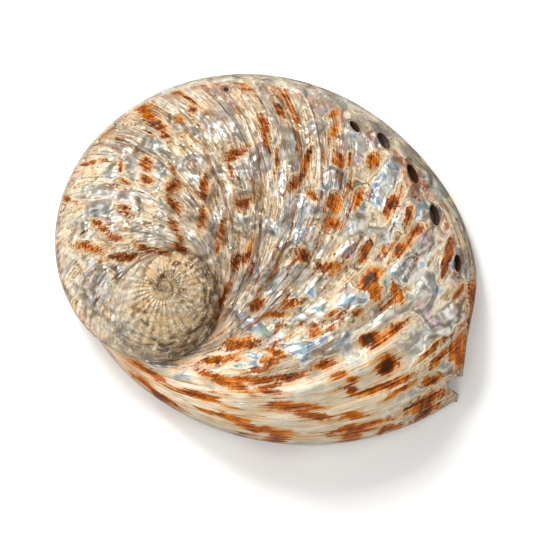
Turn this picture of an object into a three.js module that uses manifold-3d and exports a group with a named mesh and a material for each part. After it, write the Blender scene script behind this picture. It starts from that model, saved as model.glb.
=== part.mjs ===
// Polished abalone shell, lying on the rim of its aperture with its back upwards.
// The shell is one piece: a low spire and one very wide last whorl, a row of breathing pores
// along the shoulder, and an open hollow underneath. Millimetres, +Z up, the rim on Z = 0.
import * as THREE from "three";
import { mergeVertices } from "three/addons/utils/BufferGeometryUtils.js";
import Module from "manifold-3d";

const DEG = Math.PI / 180;
const TURN = 2 * Math.PI;

// The spiral, seen from above. Its angle is the turn, counted clockwise from +X at the apex.
const APEX_X = -33.14;
const APEX_Y = -8.84;
const START_RADIUS = 2.606; // shoulder radius at turn 0
const GROWTH = 0.2842; // growth of the radius' logarithm for each radian
const OVAL_1 = [0.107, -0.0454]; // cosine and sine shares of the out-of-round, once a turn
const OVAL_2 = [-0.0175, 0.0134]; // the same, twice a turn
const TUCK_FROM = 700 * DEG; // where the shoulder starts to tuck in towards the lip
const TUCK_OVER = 30 * DEG;
const TUCK = 0.105;
const TUCK_EASE = 0.9; // how soon the tuck is complete
const SUTURE_GAP = 1.03; // each whorl starts this much outside the shoulder of the one before
const MOST_TURNS = 4; // no place on the shell is further along the spiral

// Growth lines: each sweeps ahead from the shoulder (across = 1) to the suture (across = 0).
const LIP_TURN = 742 * DEG; // the shoulder end of the last growth line, the lip
const SWEEP = 122 * DEG; // how far a growth line leads at the suture
const SWEEP_EVEN = 81 * DEG;
const SWEEP_HOOK = 3.5 * DEG;
const HOOK_LENGTH = 0.1;
const SUTURE_LENGTH = 0.18;

// Heights.
const APEX_HEIGHT = 39;
const SHOULDER_BACK = 10; // shoulder above the rim behind the spire, and along the open pores
const SHOULDER_PORES = 15;
const SHOULDER_RISES = [560 * DEG, 660 * DEG];
const SPIRE_RADIUS = 26;
const SUTURE_STEP = 0.11; // drop at the suture, as a share of the radius there
const BULGE_YOUNG = 0.13; // bulge of a whorl, as a share of its width
const BULGE_ADULT = 0.2;
const BULGE_GROWS = [450 * DEG, 730 * DEG];
const BULGE_POWER = 2.4;
const BULGE_LEAN = 0.85; // under 1 leans the crest of the bulge towards the suture
const LIP_ROUND = 30; // the back rounds down to the lip over this distance
const LIP_POWER = 2.2;
const LIP_GROWTH = [590 * DEG, 650 * DEG]; // older growth lines pass the lip without meeting it

// The wall between the shoulder and the rim.
const WALL_REACH_MIN = 1.6;
const WALL_REACH = 4.2;
const WALL_TUCK = 3.6; // how far the wall behind the spire curves back in at the rim
const TUCK_ENDS = [520 * DEG, 640 * DEG];
const WALL_SPREAD = [610 * DEG, 685 * DEG];
const WALL_CLOSE = [716 * DEG, 732 * DEG];
const WALL_SLOPE = 0.95; // how steeply the back meets the shoulder
const WALL_BELLY = 0.35; // least height of the wall curve's middle handle, as a share of the wall's

// Lumps and folds left by the polished-down corrugation. Folds and lumps are waves, counted in
// radians for each radian of growth or each whorl width, and a slower wave bends them.
const FOLD_HEIGHT = 0.9;
const FOLDS_ALONG = 17;
const FOLD_LEAN = 3;
const FOLD_BEND = { size: 1.4, along: 5 };
const LUMP_HEIGHT = 1.1;
const LUMPS_ALONG = 11;
const LUMPS_ACROSS = 19;
const LUMP_BEND_ALONG = { size: 2.2, across: 6 };
const LUMP_BEND_ACROSS = { size: 1.6, along: 7 };
const RELIEF_WIDTH = 80; // whorl width that carries the full relief
const RELIEF_STARTS = [0.05, 0.4]; // places across the whorl where the relief comes and goes
const RELIEF_ENDS = [0.86, 1];

// The wall thickness, the rim face and the shelf along the inner lip.
const WALL = 2.4;
const RIM_WIDTH = 2.6;
const SHELF_WIDTH = 6;
const SHELF_STARTS = [0.1, 0.7]; // places along the lip where the shelf widens
const HOLLOW_CENTRE = [6, -2];
const ROOF_SMOOTHING = 3.6; // the whorls' steps are smoothed away inside the spire
const ROOF_SMOOTH_ENDS = [34, 50]; // distances from the apex

// Open pores: turn and distance from the apex of the centre, length along the row, and width.
const PORES = [
  { turn: 679.8, radius: 81.4, length: 4.4, width: 2.9 },
  { turn: 686.2, radius: 86.3, length: 6.2, width: 4.0 },
  { turn: 695.5, radius: 89.3, length: 6.8, width: 3.7 },
  { turn: 705.2, radius: 91.5, length: 7.0, width: 4.3 },
  { turn: 715.5, radius: 96.4, length: 5.6, width: 3.4 },
];
const PORE_SIDES = 12;
const PORE_DEPTH = 16;
const PORE_TAPER = 0.8; // how much narrower a pore's plug is at its lower end
const NOTCH = { turn: 738.8, radius: 101.5, length: 5.4, width: 6.0 }; // the unfinished pore at the lip

// Mesh steps. STEPS_PER_LAP steps lead from a suture point to the same point on the shoulder before.
const STEPS_PER_LAP = 60;
const LAPS = 2.3;
const ACROSS_STEPS = 20;
const ACROSS_EASE = 1.25;
const WALL_STEPS = 4;
const HOLLOW_RINGS = 13;
const HOLLOW_EASE = 1.7;
const FIELD_STEP = 1.2;
const FIELD_HALF = 78;
const FIELD_SIDE = 2 * Math.round(FIELD_HALF / FIELD_STEP) + 1;
const LIP_SAMPLES = 90;

const smoothstep = THREE.MathUtils.smoothstep;

function shoulderRadius(turn) {
  const late = Math.max(0, (turn - TUCK_FROM) / TUCK_OVER);
  const tuck = TUCK * (1 - Math.exp(-TUCK_EASE * late * late));
  const oval =
    OVAL_1[0] * Math.cos(turn) +
    OVAL_1[1] * Math.sin(turn) +
    OVAL_2[0] * Math.cos(2 * turn) +
    OVAL_2[1] * Math.sin(2 * turn);
  return START_RADIUS * Math.exp(GROWTH * turn + oval - tuck);
}

const sutureRadius = (turn) => SUTURE_GAP * shoulderRadius(turn - TURN);

// How far ahead of its shoulder end a growth line is, at a place across the whorl.
function lead(across) {
  const rest = SWEEP - SWEEP_EVEN - SWEEP_HOOK;
  return (
    SWEEP_EVEN * (1 - across) +
    SWEEP_HOOK * (1 - Math.exp((across - 1) / HOOK_LENGTH)) +
    rest * Math.exp(-across / SUTURE_LENGTH)
  );
}

const planPoint = (turn, radius) =>
  new THREE.Vector2(
    APEX_X + radius * Math.cos(turn),
    APEX_Y - radius * Math.sin(turn),
  );

function backPlan(growth, across) {
  const turn = growth + lead(across);
  const radius =
    sutureRadius(turn) ** (1 - across) * shoulderRadius(turn) ** across;
  return { turn, radius, point: planPoint(turn, radius) };
}

const lipLine = Array.from(
  { length: LIP_SAMPLES + 1 },
  (_, i) => backPlan(LIP_TURN, i / LIP_SAMPLES).point,
);

// Distance in plan from a point to the lip.
function lipDistance(p) {
  let best = Infinity;
  for (let i = 0; i < LIP_SAMPLES; i++) {
    const a = lipLine[i];
    const along = lipLine[i + 1].clone().sub(a);
    const t = THREE.MathUtils.clamp(
      p.clone().sub(a).dot(along) / along.lengthSq(),
      0,
      1,
    );
    best = Math.min(best, p.distanceTo(a.clone().addScaledVector(along, t)));
  }
  return best;
}

// The back's share of its full height, which rounds down to nothing at the lip.
function lipRounding(p, growth) {
  const isLate = smoothstep(growth, ...LIP_GROWTH);
  if (isLate === 0) return 1;
  const inset = Math.min(1, lipDistance(p) / LIP_ROUND);
  const rounded = (1 - (1 - inset) ** LIP_POWER) ** (1 / LIP_POWER);
  return THREE.MathUtils.lerp(1, rounded, isLate);
}

function shoulderHeight(turn, radius) {
  const floor = THREE.MathUtils.lerp(
    SHOULDER_BACK,
    SHOULDER_PORES,
    smoothstep(turn, ...SHOULDER_RISES),
  );
  const spire = Math.exp(-((radius / SPIRE_RADIUS) ** 2));
  return floor + (APEX_HEIGHT - floor) * spire;
}

// Folds along the growth lines and lumps between them, fading out at the suture and the shoulder.
function relief(growth, across, whorlWidth) {
  const fade =
    smoothstep(across, ...RELIEF_STARTS) *
    (1 - smoothstep(across, ...RELIEF_ENDS));
  const foldBend = FOLD_BEND.size * Math.sin(FOLD_BEND.along * growth);
  const fold = Math.sin(FOLDS_ALONG * growth + foldBend + FOLD_LEAN * across);
  const bendAlong =
    LUMP_BEND_ALONG.size * Math.sin(LUMP_BEND_ALONG.across * across);
  const bendAcross =
    LUMP_BEND_ACROSS.size * Math.sin(LUMP_BEND_ACROSS.along * growth);
  const lump =
    Math.cos(LUMPS_ALONG * growth + bendAlong) *
    Math.cos(LUMPS_ACROSS * across + bendAcross);
  const size = Math.min(1, whorlWidth / RELIEF_WIDTH);
  return size * fade * (FOLD_HEIGHT * fold + LUMP_HEIGHT * lump);
}

// Height of the back of the shell at a growth line, a place across the whorl and a plan point.
function backHeight(growth, across, turn, radius, point) {
  const inner = sutureRadius(turn);
  const outer = shoulderRadius(turn);
  const before = inner / SUTURE_GAP;
  const width = outer - inner;
  const out = (radius - inner) / width;
  const atSuture = shoulderHeight(turn - TURN, before) - SUTURE_STEP * before;
  const atShoulder = shoulderHeight(turn, outer);
  const bulge = THREE.MathUtils.lerp(
    BULGE_YOUNG,
    BULGE_ADULT,
    smoothstep(turn, ...BULGE_GROWS),
  );
  const crest = 1 - Math.abs(2 * out ** BULGE_LEAN - 1) ** BULGE_POWER;
  const dome =
    THREE.MathUtils.lerp(atSuture, atShoulder, out) + bulge * width * crest;
  return (dome + relief(growth, across, width)) * lipRounding(point, growth);
}

// How far the wall below the shoulder reaches outwards before it meets the rim.
function wallReach(turn) {
  const spread = smoothstep(turn, ...WALL_SPREAD);
  const close = 1 - smoothstep(turn, ...WALL_CLOSE);
  return WALL_REACH_MIN + WALL_REACH * spread * close;
}

const wallTuck = (turn) => WALL_TUCK * (1 - smoothstep(turn, ...TUCK_ENDS));

const wallBend = (top, reach) =>
  Math.max(WALL_BELLY * top, top - WALL_SLOPE * reach);

// Height of the outside above any plan point, or null outside the rim.
function outsideHeight(p) {
  const radius = Math.hypot(p.x - APEX_X, p.y - APEX_Y);
  const angle = Math.atan2(APEX_Y - p.y, p.x - APEX_X);
  for (let lap = 0; lap < MOST_TURNS; lap++) {
    const turn = angle + lap * TURN;
    const outer = shoulderRadius(turn);
    const inner = sutureRadius(turn);
    const across =
      Math.log(Math.max(radius, inner) / inner) / Math.log(outer / inner);
    const growth = turn - lead(Math.min(1, across));
    if (radius <= outer) {
      if (growth > LIP_TURN) return null;
      return backHeight(growth, across, turn, Math.max(radius, inner), p);
    }
    const reach = wallReach(turn);
    const free = turn > LIP_TURN - (TURN - SWEEP) && turn < LIP_TURN;
    if (free && radius <= outer + reach) {
      const top = backHeight(turn, 1, turn, outer, planPoint(turn, outer));
      const down = 1 - Math.sqrt(1 - (radius - outer) / reach);
      return (
        (1 - down) ** 2 * top + 2 * down * (1 - down) * wallBend(top, reach)
      );
    }
    if (turn > LIP_TURN) return null;
  }
  return null;
}

// A square grid of heights over the plan.
class HeightField {
  constructor(heights) {
    this.heights = heights;
  }
  static sampled(heightAt) {
    const heights = new Float64Array(FIELD_SIDE * FIELD_SIDE);
    return new HeightField(
      heights.map((_, i) => heightAt(HeightField.place(i))),
    );
  }
  static place(i) {
    const column = i % FIELD_SIDE;
    const row = Math.floor(i / FIELD_SIDE);
    return new THREE.Vector2(column, row)
      .multiplyScalar(FIELD_STEP)
      .subScalar(FIELD_HALF);
  }
  // Each cell's new height from those of the disc round it, given with their distances.
  filtered(radius, combine) {
    const cells = Math.floor(radius / FIELD_STEP);
    const disc = [];
    for (let r = -cells; r <= cells; r++)
      for (let c = -cells; c <= cells; c++) {
        const far = Math.hypot(r, c) * FIELD_STEP;
        if (far <= radius) disc.push({ shift: r * FIELD_SIDE + c, far });
      }
    const near = (i) =>
      disc.map(({ shift, far }) => [this.heights[i + shift] ?? 0, far]);
    return new HeightField(this.heights.map((_, i) => combine(near(i))));
  }
  at(p) {
    const u = (p.x + FIELD_HALF) / FIELD_STEP;
    const v = (p.y + FIELD_HALF) / FIELD_STEP;
    const i = Math.floor(v) * FIELD_SIDE + Math.floor(u);
    const h = this.heights;
    const { lerp } = THREE.MathUtils;
    return lerp(
      lerp(h[i], h[i + 1], u % 1),
      lerp(h[i + FIELD_SIDE], h[i + FIELD_SIDE + 1], u % 1),
      v % 1,
    );
  }
}

const lowest = (near) => Math.min(...near.map(([height]) => height));
const average = (near) =>
  near.reduce((sum, [height]) => sum + height, 0) / near.length;

// The hollow's roof: a ball as thick as the wall rolled under the outside, smoothed under the spire.
function hollowRoof() {
  const underBall = (near) =>
    Math.min(
      ...near.map(([height, far]) => height - Math.sqrt(WALL ** 2 - far ** 2)),
    );
  const roof = HeightField.sampled((p) => outsideHeight(p) ?? 0).filtered(
    WALL,
    underBall,
  );
  const smooth = roof
    .filtered(ROOF_SMOOTHING, lowest)
    .filtered(ROOF_SMOOTHING, average);
  return (p) => {
    const fromApex = Math.hypot(p.x - APEX_X, p.y - APEX_Y);
    const share = smoothstep(fromApex, ...ROOF_SMOOTH_ENDS);
    return Math.max(
      0,
      THREE.MathUtils.lerp(smooth.at(p), roof.at(p), share),
    );
  };
}

// Collects shared vertices and the triangles between them.
class Surface {
  constructor() {
    this.vertices = [];
    this.triangles = [];
  }
  vertex(x, y, z) {
    this.vertices.push(x, y, z);
    return this.vertices.length / 3 - 1;
  }
  // Two triangles, or one where two neighbouring corners are the same vertex.
  quad(a, b, c, d) {
    if (b !== c) this.triangles.push(a, b, c);
    this.triangles.push(a, c, d);
  }
}

// The outside: a long spiral band of growth lines, each lap's suture edge joined to the shoulder before.
function addOutside(surface) {
  const step = (TURN - SWEEP) / STEPS_PER_LAP;
  const rows = Math.round(LAPS * STEPS_PER_LAP);
  const free = rows - STEPS_PER_LAP; // from here on the wall runs down to the rim
  const band = [];
  for (let i = 0; i <= rows; i++) {
    const growth = LIP_TURN - (rows - i) * step;
    const line = [];
    for (let j = 0; j <= ACROSS_STEPS; j++) {
      const across = 1 - (1 - j / ACROSS_STEPS) ** ACROSS_EASE;
      const { turn, radius, point } = backPlan(growth, across);
      const z =
        i === rows ? 0 : backHeight(growth, across, turn, radius, point);
      line.push(surface.vertex(point.x, point.y, z));
    }
    band.push(line);
  }
  const walls = [];
  for (let i = 0; i < rows; i++) {
    const turn = LIP_TURN - (rows - i) * step;
    const outer = shoulderRadius(turn);
    const top = surface.vertices[3 * band[i][ACROSS_STEPS] + 2];
    const foot = i <= free ? band[i + STEPS_PER_LAP][0] : null;
    const low = foot === null ? 0 : surface.vertices[3 * foot + 2];
    const reach =
      foot === null ? wallReach(turn) : outer * (SUTURE_GAP - 1);
    const tuck = foot === null ? wallTuck(turn) : 0;
    const column = [band[i][ACROSS_STEPS]];
    for (let k = 1; k <= WALL_STEPS; k++) {
      const down = k / WALL_STEPS;
      const bulge = reach * (2 * down - down * down) - tuck * down ** 3;
      const p = planPoint(turn, outer + bulge);
      const drop = top - low;
      const z =
        low +
        (1 - down) ** 2 * drop +
        2 * down * (1 - down) * wallBend(drop, reach);
      const isFoot = k === WALL_STEPS && foot !== null;
      column.push(isFoot ? foot : surface.vertex(p.x, p.y, z));
    }
    walls.push(column);
  }
  // The wall ends in a point at the lip.
  walls.push(Array(WALL_STEPS + 1).fill(band[rows][ACROSS_STEPS]));
  for (let i = 0; i < rows; i++) {
    for (let j = 0; j < ACROSS_STEPS; j++)
      surface.quad(
        band[i][j],
        band[i + 1][j],
        band[i + 1][j + 1],
        band[i][j + 1],
      );
    for (let k = 0; k < WALL_STEPS; k++)
      surface.quad(
        walls[i][k],
        walls[i + 1][k],
        walls[i + 1][k + 1],
        walls[i][k + 1],
      );
  }
  // The first whorls are too small to see: a fan of triangles closes them at the apex.
  const apex = surface.vertex(APEX_X, APEX_Y, APEX_HEIGHT);
  const nucleus = [
    ...band.slice(0, STEPS_PER_LAP + 1).map((line) => line[0]),
    ...walls[0].slice(0, -1).reverse(),
    ...band[0].slice(1, -1).reverse(),
  ];
  nucleus.forEach((v, i) =>
    surface.triangles.push(v, apex, nucleus[(i + 1) % nucleus.length]),
  );
  const rim = walls.slice(free).map((column) => column[WALL_STEPS]);
  return [...rim, ...band[rows].slice(1, -1).reverse()];
}

// The rim face on the ground and the hollow above it, from the outside's own edge.
function addHollow(surface, rim) {
  const centre = new THREE.Vector2(...HOLLOW_CENTRE);
  const hollowHeight = hollowRoof();
  const edge = rim.map((v) =>
    new THREE.Vector2().fromArray(surface.vertices, 3 * v),
  );
  const lipStart = rim.length - ACROSS_STEPS + 1;
  const face = edge.map((p, i) => {
    const alongLip = Math.max(0, (i - lipStart) / ACROSS_STEPS);
    const shelf = SHELF_WIDTH * smoothstep(alongLip, ...SHELF_STARTS);
    const towards = centre.clone().sub(p).normalize();
    return p.clone().addScaledVector(towards, RIM_WIDTH + shelf);
  });
  let last = rim;
  for (let ring = 0; ring < HOLLOW_RINGS; ring++) {
    const share = (ring / HOLLOW_RINGS) ** HOLLOW_EASE;
    const loop = face.map((p) => {
      const q = p.clone().lerp(centre, share);
      return surface.vertex(q.x, q.y, ring === 0 ? 0 : hollowHeight(q));
    });
    loop.forEach((v, i) => {
      const next = (i + 1) % loop.length;
      surface.quad(last[i], last[next], loop[next], v);
    });
    last = loop;
  }
  const top = surface.vertex(centre.x, centre.y, hollowHeight(centre));
  last.forEach((v, i) =>
    surface.triangles.push(v, last[(i + 1) % last.length], top),
  );
}

const wasm = await Module();
wasm.setup();

function solidFrom(vertices, triangles) {
  return new wasm.Manifold(
    new wasm.Mesh({
      numProp: 3,
      vertProperties: new Float32Array(vertices),
      triVerts: new Uint32Array(triangles),
    }),
  );
}

// A tapered oval plug through the wall, square to the back and longest along the pore row.
function porePlug({ turn, radius, length, width }, upright) {
  const angle = turn * DEG;
  const p = planPoint(angle, radius);
  const reach = new THREE.Vector3(Math.cos(angle), -Math.sin(angle), 0);
  const along = new THREE.Vector3(-Math.sin(angle), -Math.cos(angle), 0);
  const up = new THREE.Vector3(0, 0, 1);
  const out = upright
    ? up
    : up.clone().addScaledVector(reach, WALL_SLOPE).normalize();
  const side = out.clone().cross(along);
  const plug = new THREE.CylinderGeometry(1, PORE_TAPER, PORE_DEPTH, PORE_SIDES);
  plug.scale(length / 2, 1, width / 2);
  const height = upright ? 0 : (outsideHeight(p) ?? 0);
  plug.applyMatrix4(
    new THREE.Matrix4()
      .makeBasis(along, out, side.negate())
      .setPosition(p.x, p.y, height),
  );
  plug.deleteAttribute("normal");
  plug.deleteAttribute("uv");
  const merged = mergeVertices(plug);
  return solidFrom(merged.attributes.position.array, merged.index.array);
}

function shellGeometry() {
  const surface = new Surface();
  const rim = addOutside(surface);
  addHollow(surface, rim);
  let solid = solidFrom(surface.vertices, surface.triangles);
  for (const pore of PORES) solid = solid.subtract(porePlug(pore, false));
  solid = solid.subtract(porePlug(NOTCH, true));
  const { vertProperties, triVerts } = solid.getMesh();
  const geometry = new THREE.BufferGeometry();
  geometry.setAttribute("position", new THREE.BufferAttribute(vertProperties, 3));
  geometry.setIndex(new THREE.BufferAttribute(triVerts, 1));
  geometry.computeVertexNormals();
  return geometry;
}

const nacre = new THREE.MeshStandardMaterial({
  color: 0xd8cdb8,
  roughness: 0.2,
  metalness: 0.15,
});
const shell = new THREE.Mesh(shellGeometry(), nacre);
shell.name = "shell";

const abalone = new THREE.Group();
abalone.add(shell);

export default abalone;
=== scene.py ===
"""A polished abalone shell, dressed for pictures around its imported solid.

The shell lies on the rim of its aperture with its back up. Its back is one spiral band of growth
lines, worked out as whole arrays. Shapes are in millimetres and radians, the mesh is in metres.
"""
import logging
import math
from dataclasses import dataclass, field
from enum import Enum, IntEnum
from functools import reduce

import bpy
import numpy as np
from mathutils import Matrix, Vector


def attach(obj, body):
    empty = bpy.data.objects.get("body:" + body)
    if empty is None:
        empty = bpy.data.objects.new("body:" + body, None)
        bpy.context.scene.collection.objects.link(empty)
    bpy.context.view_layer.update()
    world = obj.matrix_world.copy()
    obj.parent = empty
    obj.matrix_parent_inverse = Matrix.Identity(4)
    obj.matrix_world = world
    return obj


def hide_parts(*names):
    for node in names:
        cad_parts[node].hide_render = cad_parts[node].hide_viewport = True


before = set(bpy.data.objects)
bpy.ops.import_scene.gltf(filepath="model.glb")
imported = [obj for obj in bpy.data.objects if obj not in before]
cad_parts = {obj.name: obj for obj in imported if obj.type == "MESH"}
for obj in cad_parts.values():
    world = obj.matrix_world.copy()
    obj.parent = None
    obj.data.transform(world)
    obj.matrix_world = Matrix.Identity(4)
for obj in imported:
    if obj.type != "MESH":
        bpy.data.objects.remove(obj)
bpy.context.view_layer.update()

LOG = logging.getLogger("abalone")
Array = np.ndarray
Socket = bpy.types.NodeSocket
# Where a change starts and is complete, and where a line lies and how far it fades.
Ends = tuple[float, float]
Line = tuple[float, float]
# Places and screen colours along a ramp.
Stops = tuple[tuple[float, str], ...]
MM = 0.001
TURN = 2 * math.pi
BODY = "root"
NODE = "shell"
LINES_UV = "growth_lines"
SCATTER = (127.1, 311.7, 74.7)
SCATTER_SCALE = 43758.5453
NOISE_LAYERS = 3
deg = math.radians


class Seed(IntEnum):
    """Seeds of the noises that shape the shell, so that each is its own and the same on each run."""

    PEBBLES = 3
    BREAKS = 5
    WANDER = 11
    PEBBLE_U = 21
    PEBBLE_V = 27
    ROUGHNESS = 31
    MARKS_X = 41
    MARKS_Y = 47
    DENTS = 53


def smoothstep(x: Array, low: float, high: float) -> Array:
    """Ease from 0 at low to 1 at high, as 3 t squared less 2 t cubed."""
    t = np.clip((x - low) / (high - low), 0.0, 1.0)
    return t * t * (3.0 - 2.0 * t)


def between(a: Array, b: Array, share: Array) -> Array:
    """The value a share of the way from a to b."""
    return a + (b - a) * share


def lattice(i: Array, j: Array, seed: int) -> Array:
    """Repeatable numbers from 0 to 1, one for each whole-number place."""
    raw = np.sin(SCATTER[0] * i + SCATTER[1] * j + SCATTER[2] * seed) * SCATTER_SCALE
    return raw - np.floor(raw)


def soft_noise(u: Array, v: Array, seed: int) -> Array:
    """Smooth noise from 0 to 1: the lattice numbers, eased between whole places."""
    i, j = np.floor(u), np.floor(v)
    s, t = smoothstep(u - i, 0, 1), smoothstep(v - j, 0, 1)
    near = between(lattice(i, j, seed), lattice(i + 1, j, seed), s)
    far = between(lattice(i, j + 1, seed), lattice(i + 1, j + 1, seed), s)
    return between(near, far, t)


def rough_noise(u: Array, v: Array, seed: int) -> Array:
    """Layers of soft noise, each twice as fine and half as strong, from -0.5 to 0.5."""
    strengths = [0.5**k for k in range(NOISE_LAYERS)]
    layers = [soft_noise(u / s, v / s, seed + k) * s for k, s in enumerate(strengths)]
    return sum(layers) / sum(strengths) - 0.5


def pebble_distance(u: Array, v: Array, seed: int) -> Array:
    """Distance to the nearest of the points that are scattered one to each unit square."""
    i, j = np.floor(u), np.floor(v)
    nearest = np.full(np.shape(u), np.inf)
    for di in (-1, 0, 1):
        for dj in (-1, 0, 1):
            pu = i + di + lattice(i + di, j + dj, seed)
            pv = j + dj + lattice(i + di, j + dj, seed + 1)
            nearest = np.minimum(nearest, np.hypot(pu - u, pv - v))
    return nearest


@dataclass
class Spots:
    """Places on the outside of the shell, as arrays of one shape.

    growth is the turn at which the spot's growth line meets the shoulder. across runs from 0 at
    the suture to 1 at the shoulder, and on to 2 at the foot of the side wall.
    """

    growth: Array
    across: Array
    turn: Array
    radius: Array
    x: Array
    y: Array


@dataclass(frozen=True)
class Spiral:
    """The shell's plan: a widening spiral, with the turn counted clockwise from +X at the apex."""

    apex: tuple[float, float] = (-33.14, -8.84)
    start_radius: float = 2.606
    growth_rate: float = 0.2842
    oval_once: tuple[float, float] = (0.107, -0.0454)
    oval_twice: tuple[float, float] = (-0.0175, 0.0134)
    tuck_from: float = deg(700)
    tuck_over: float = deg(30)
    tuck: float = 0.105
    tuck_ease: float = 0.9
    suture_gap: float = 1.03
    lip_turn: float = deg(741.97)
    sweep: float = deg(122)
    sweep_even: float = deg(81)
    sweep_hook: float = deg(3.5)
    hook_length: float = 0.1
    suture_length: float = 0.18
    lip_samples: int = 90

    def shoulder_radius(self, turn: Array) -> Array:
        """Radius of the shoulder: an exponential, a little oval, tucked in before the lip."""
        late = np.maximum(0.0, (turn - self.tuck_from) / self.tuck_over)
        tuck = self.tuck * (1.0 - np.exp(-self.tuck_ease * late * late))
        oval = (
            self.oval_once[0] * np.cos(turn)
            + self.oval_once[1] * np.sin(turn)
            + self.oval_twice[0] * np.cos(2 * turn)
            + self.oval_twice[1] * np.sin(2 * turn)
        )
        return self.start_radius * np.exp(self.growth_rate * turn + oval - tuck)

    def suture_radius(self, turn: Array) -> Array:
        """Radius of the suture: just outside the shoulder one turn earlier."""
        return self.suture_gap * self.shoulder_radius(turn - TURN)

    def lead(self, across: Array) -> Array:
        """How far a growth line is ahead of its shoulder end, at a place across the whorl."""
        rest = self.sweep - self.sweep_even - self.sweep_hook
        return (
            self.sweep_even * (1 - across)
            + self.sweep_hook * (1 - np.exp((across - 1) / self.hook_length))
            + rest * np.exp(-across / self.suture_length)
        )

    def plan(self, turn: Array, radius: Array) -> tuple[Array, Array]:
        """Plan place of a turn and radius."""
        return self.apex[0] + radius * np.cos(turn), self.apex[1] - radius * np.sin(turn)

    def back_spots(self, growth: Array, across: Array) -> Spots:
        """Spots on the back, where radii run evenly in their logarithm from suture to shoulder."""
        turn = growth + self.lead(across)
        inner, outer = self.suture_radius(turn), self.shoulder_radius(turn)
        radius = inner ** (1 - across) * outer**across
        return Spots(growth, across, turn, radius, *self.plan(turn, radius))

    def lip_distance(self, x: Array, y: Array) -> Array:
        """Distance in plan to the last growth line, the lip."""
        share = np.linspace(0.0, 1.0, self.lip_samples + 1)
        lip = self.back_spots(np.full_like(share, self.lip_turn), share)
        best = np.full(np.shape(x), np.inf)
        for k in range(self.lip_samples):
            dx, dy = lip.x[k + 1] - lip.x[k], lip.y[k + 1] - lip.y[k]
            t = ((x - lip.x[k]) * dx + (y - lip.y[k]) * dy) / (dx * dx + dy * dy)
            t = np.clip(t, 0.0, 1.0)
            best = np.minimum(best, np.hypot(x - lip.x[k] - t * dx, y - lip.y[k] - t * dy))
        return best


@dataclass(frozen=True)
class SideWall:
    """The wall between the shoulder and the rim, a bent curve that spreads below the pores."""

    reach_min: float = 1.56
    reach_more: float = 4.2
    spread: tuple[float, float] = (deg(610), deg(685))
    close: tuple[float, float] = (deg(716), deg(732))
    tuck: float = 3.6
    tuck_ends: Ends = (deg(520), deg(640))
    slope: float = 0.95
    belly: float = 0.35
    foot: float = 0.7

    def reach(self, turn: Array) -> Array:
        """How far out of the shoulder the wall's foot is."""
        spread = smoothstep(turn, *self.spread) * (1 - smoothstep(turn, *self.close))
        return self.reach_min + self.reach_more * spread

    def out(self, turn: Array, down: Array) -> Array:
        """Distance out of the shoulder, a share of the way down the wall."""
        tuck = self.tuck * (1 - smoothstep(turn, *self.tuck_ends))
        return self.reach(turn) * (2 * down - down * down) - tuck * down**3

    def height(self, top: Array, low: Array, reach: Array, down: Array) -> Array:
        """Height of a quadratic curve from top to low that leaves the shoulder at the slope."""
        drop = top - low
        bend = np.maximum(self.belly * drop, drop - self.slope * reach)
        return low + (1 - down) ** 2 * drop + 2 * down * (1 - down) * bend


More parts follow.
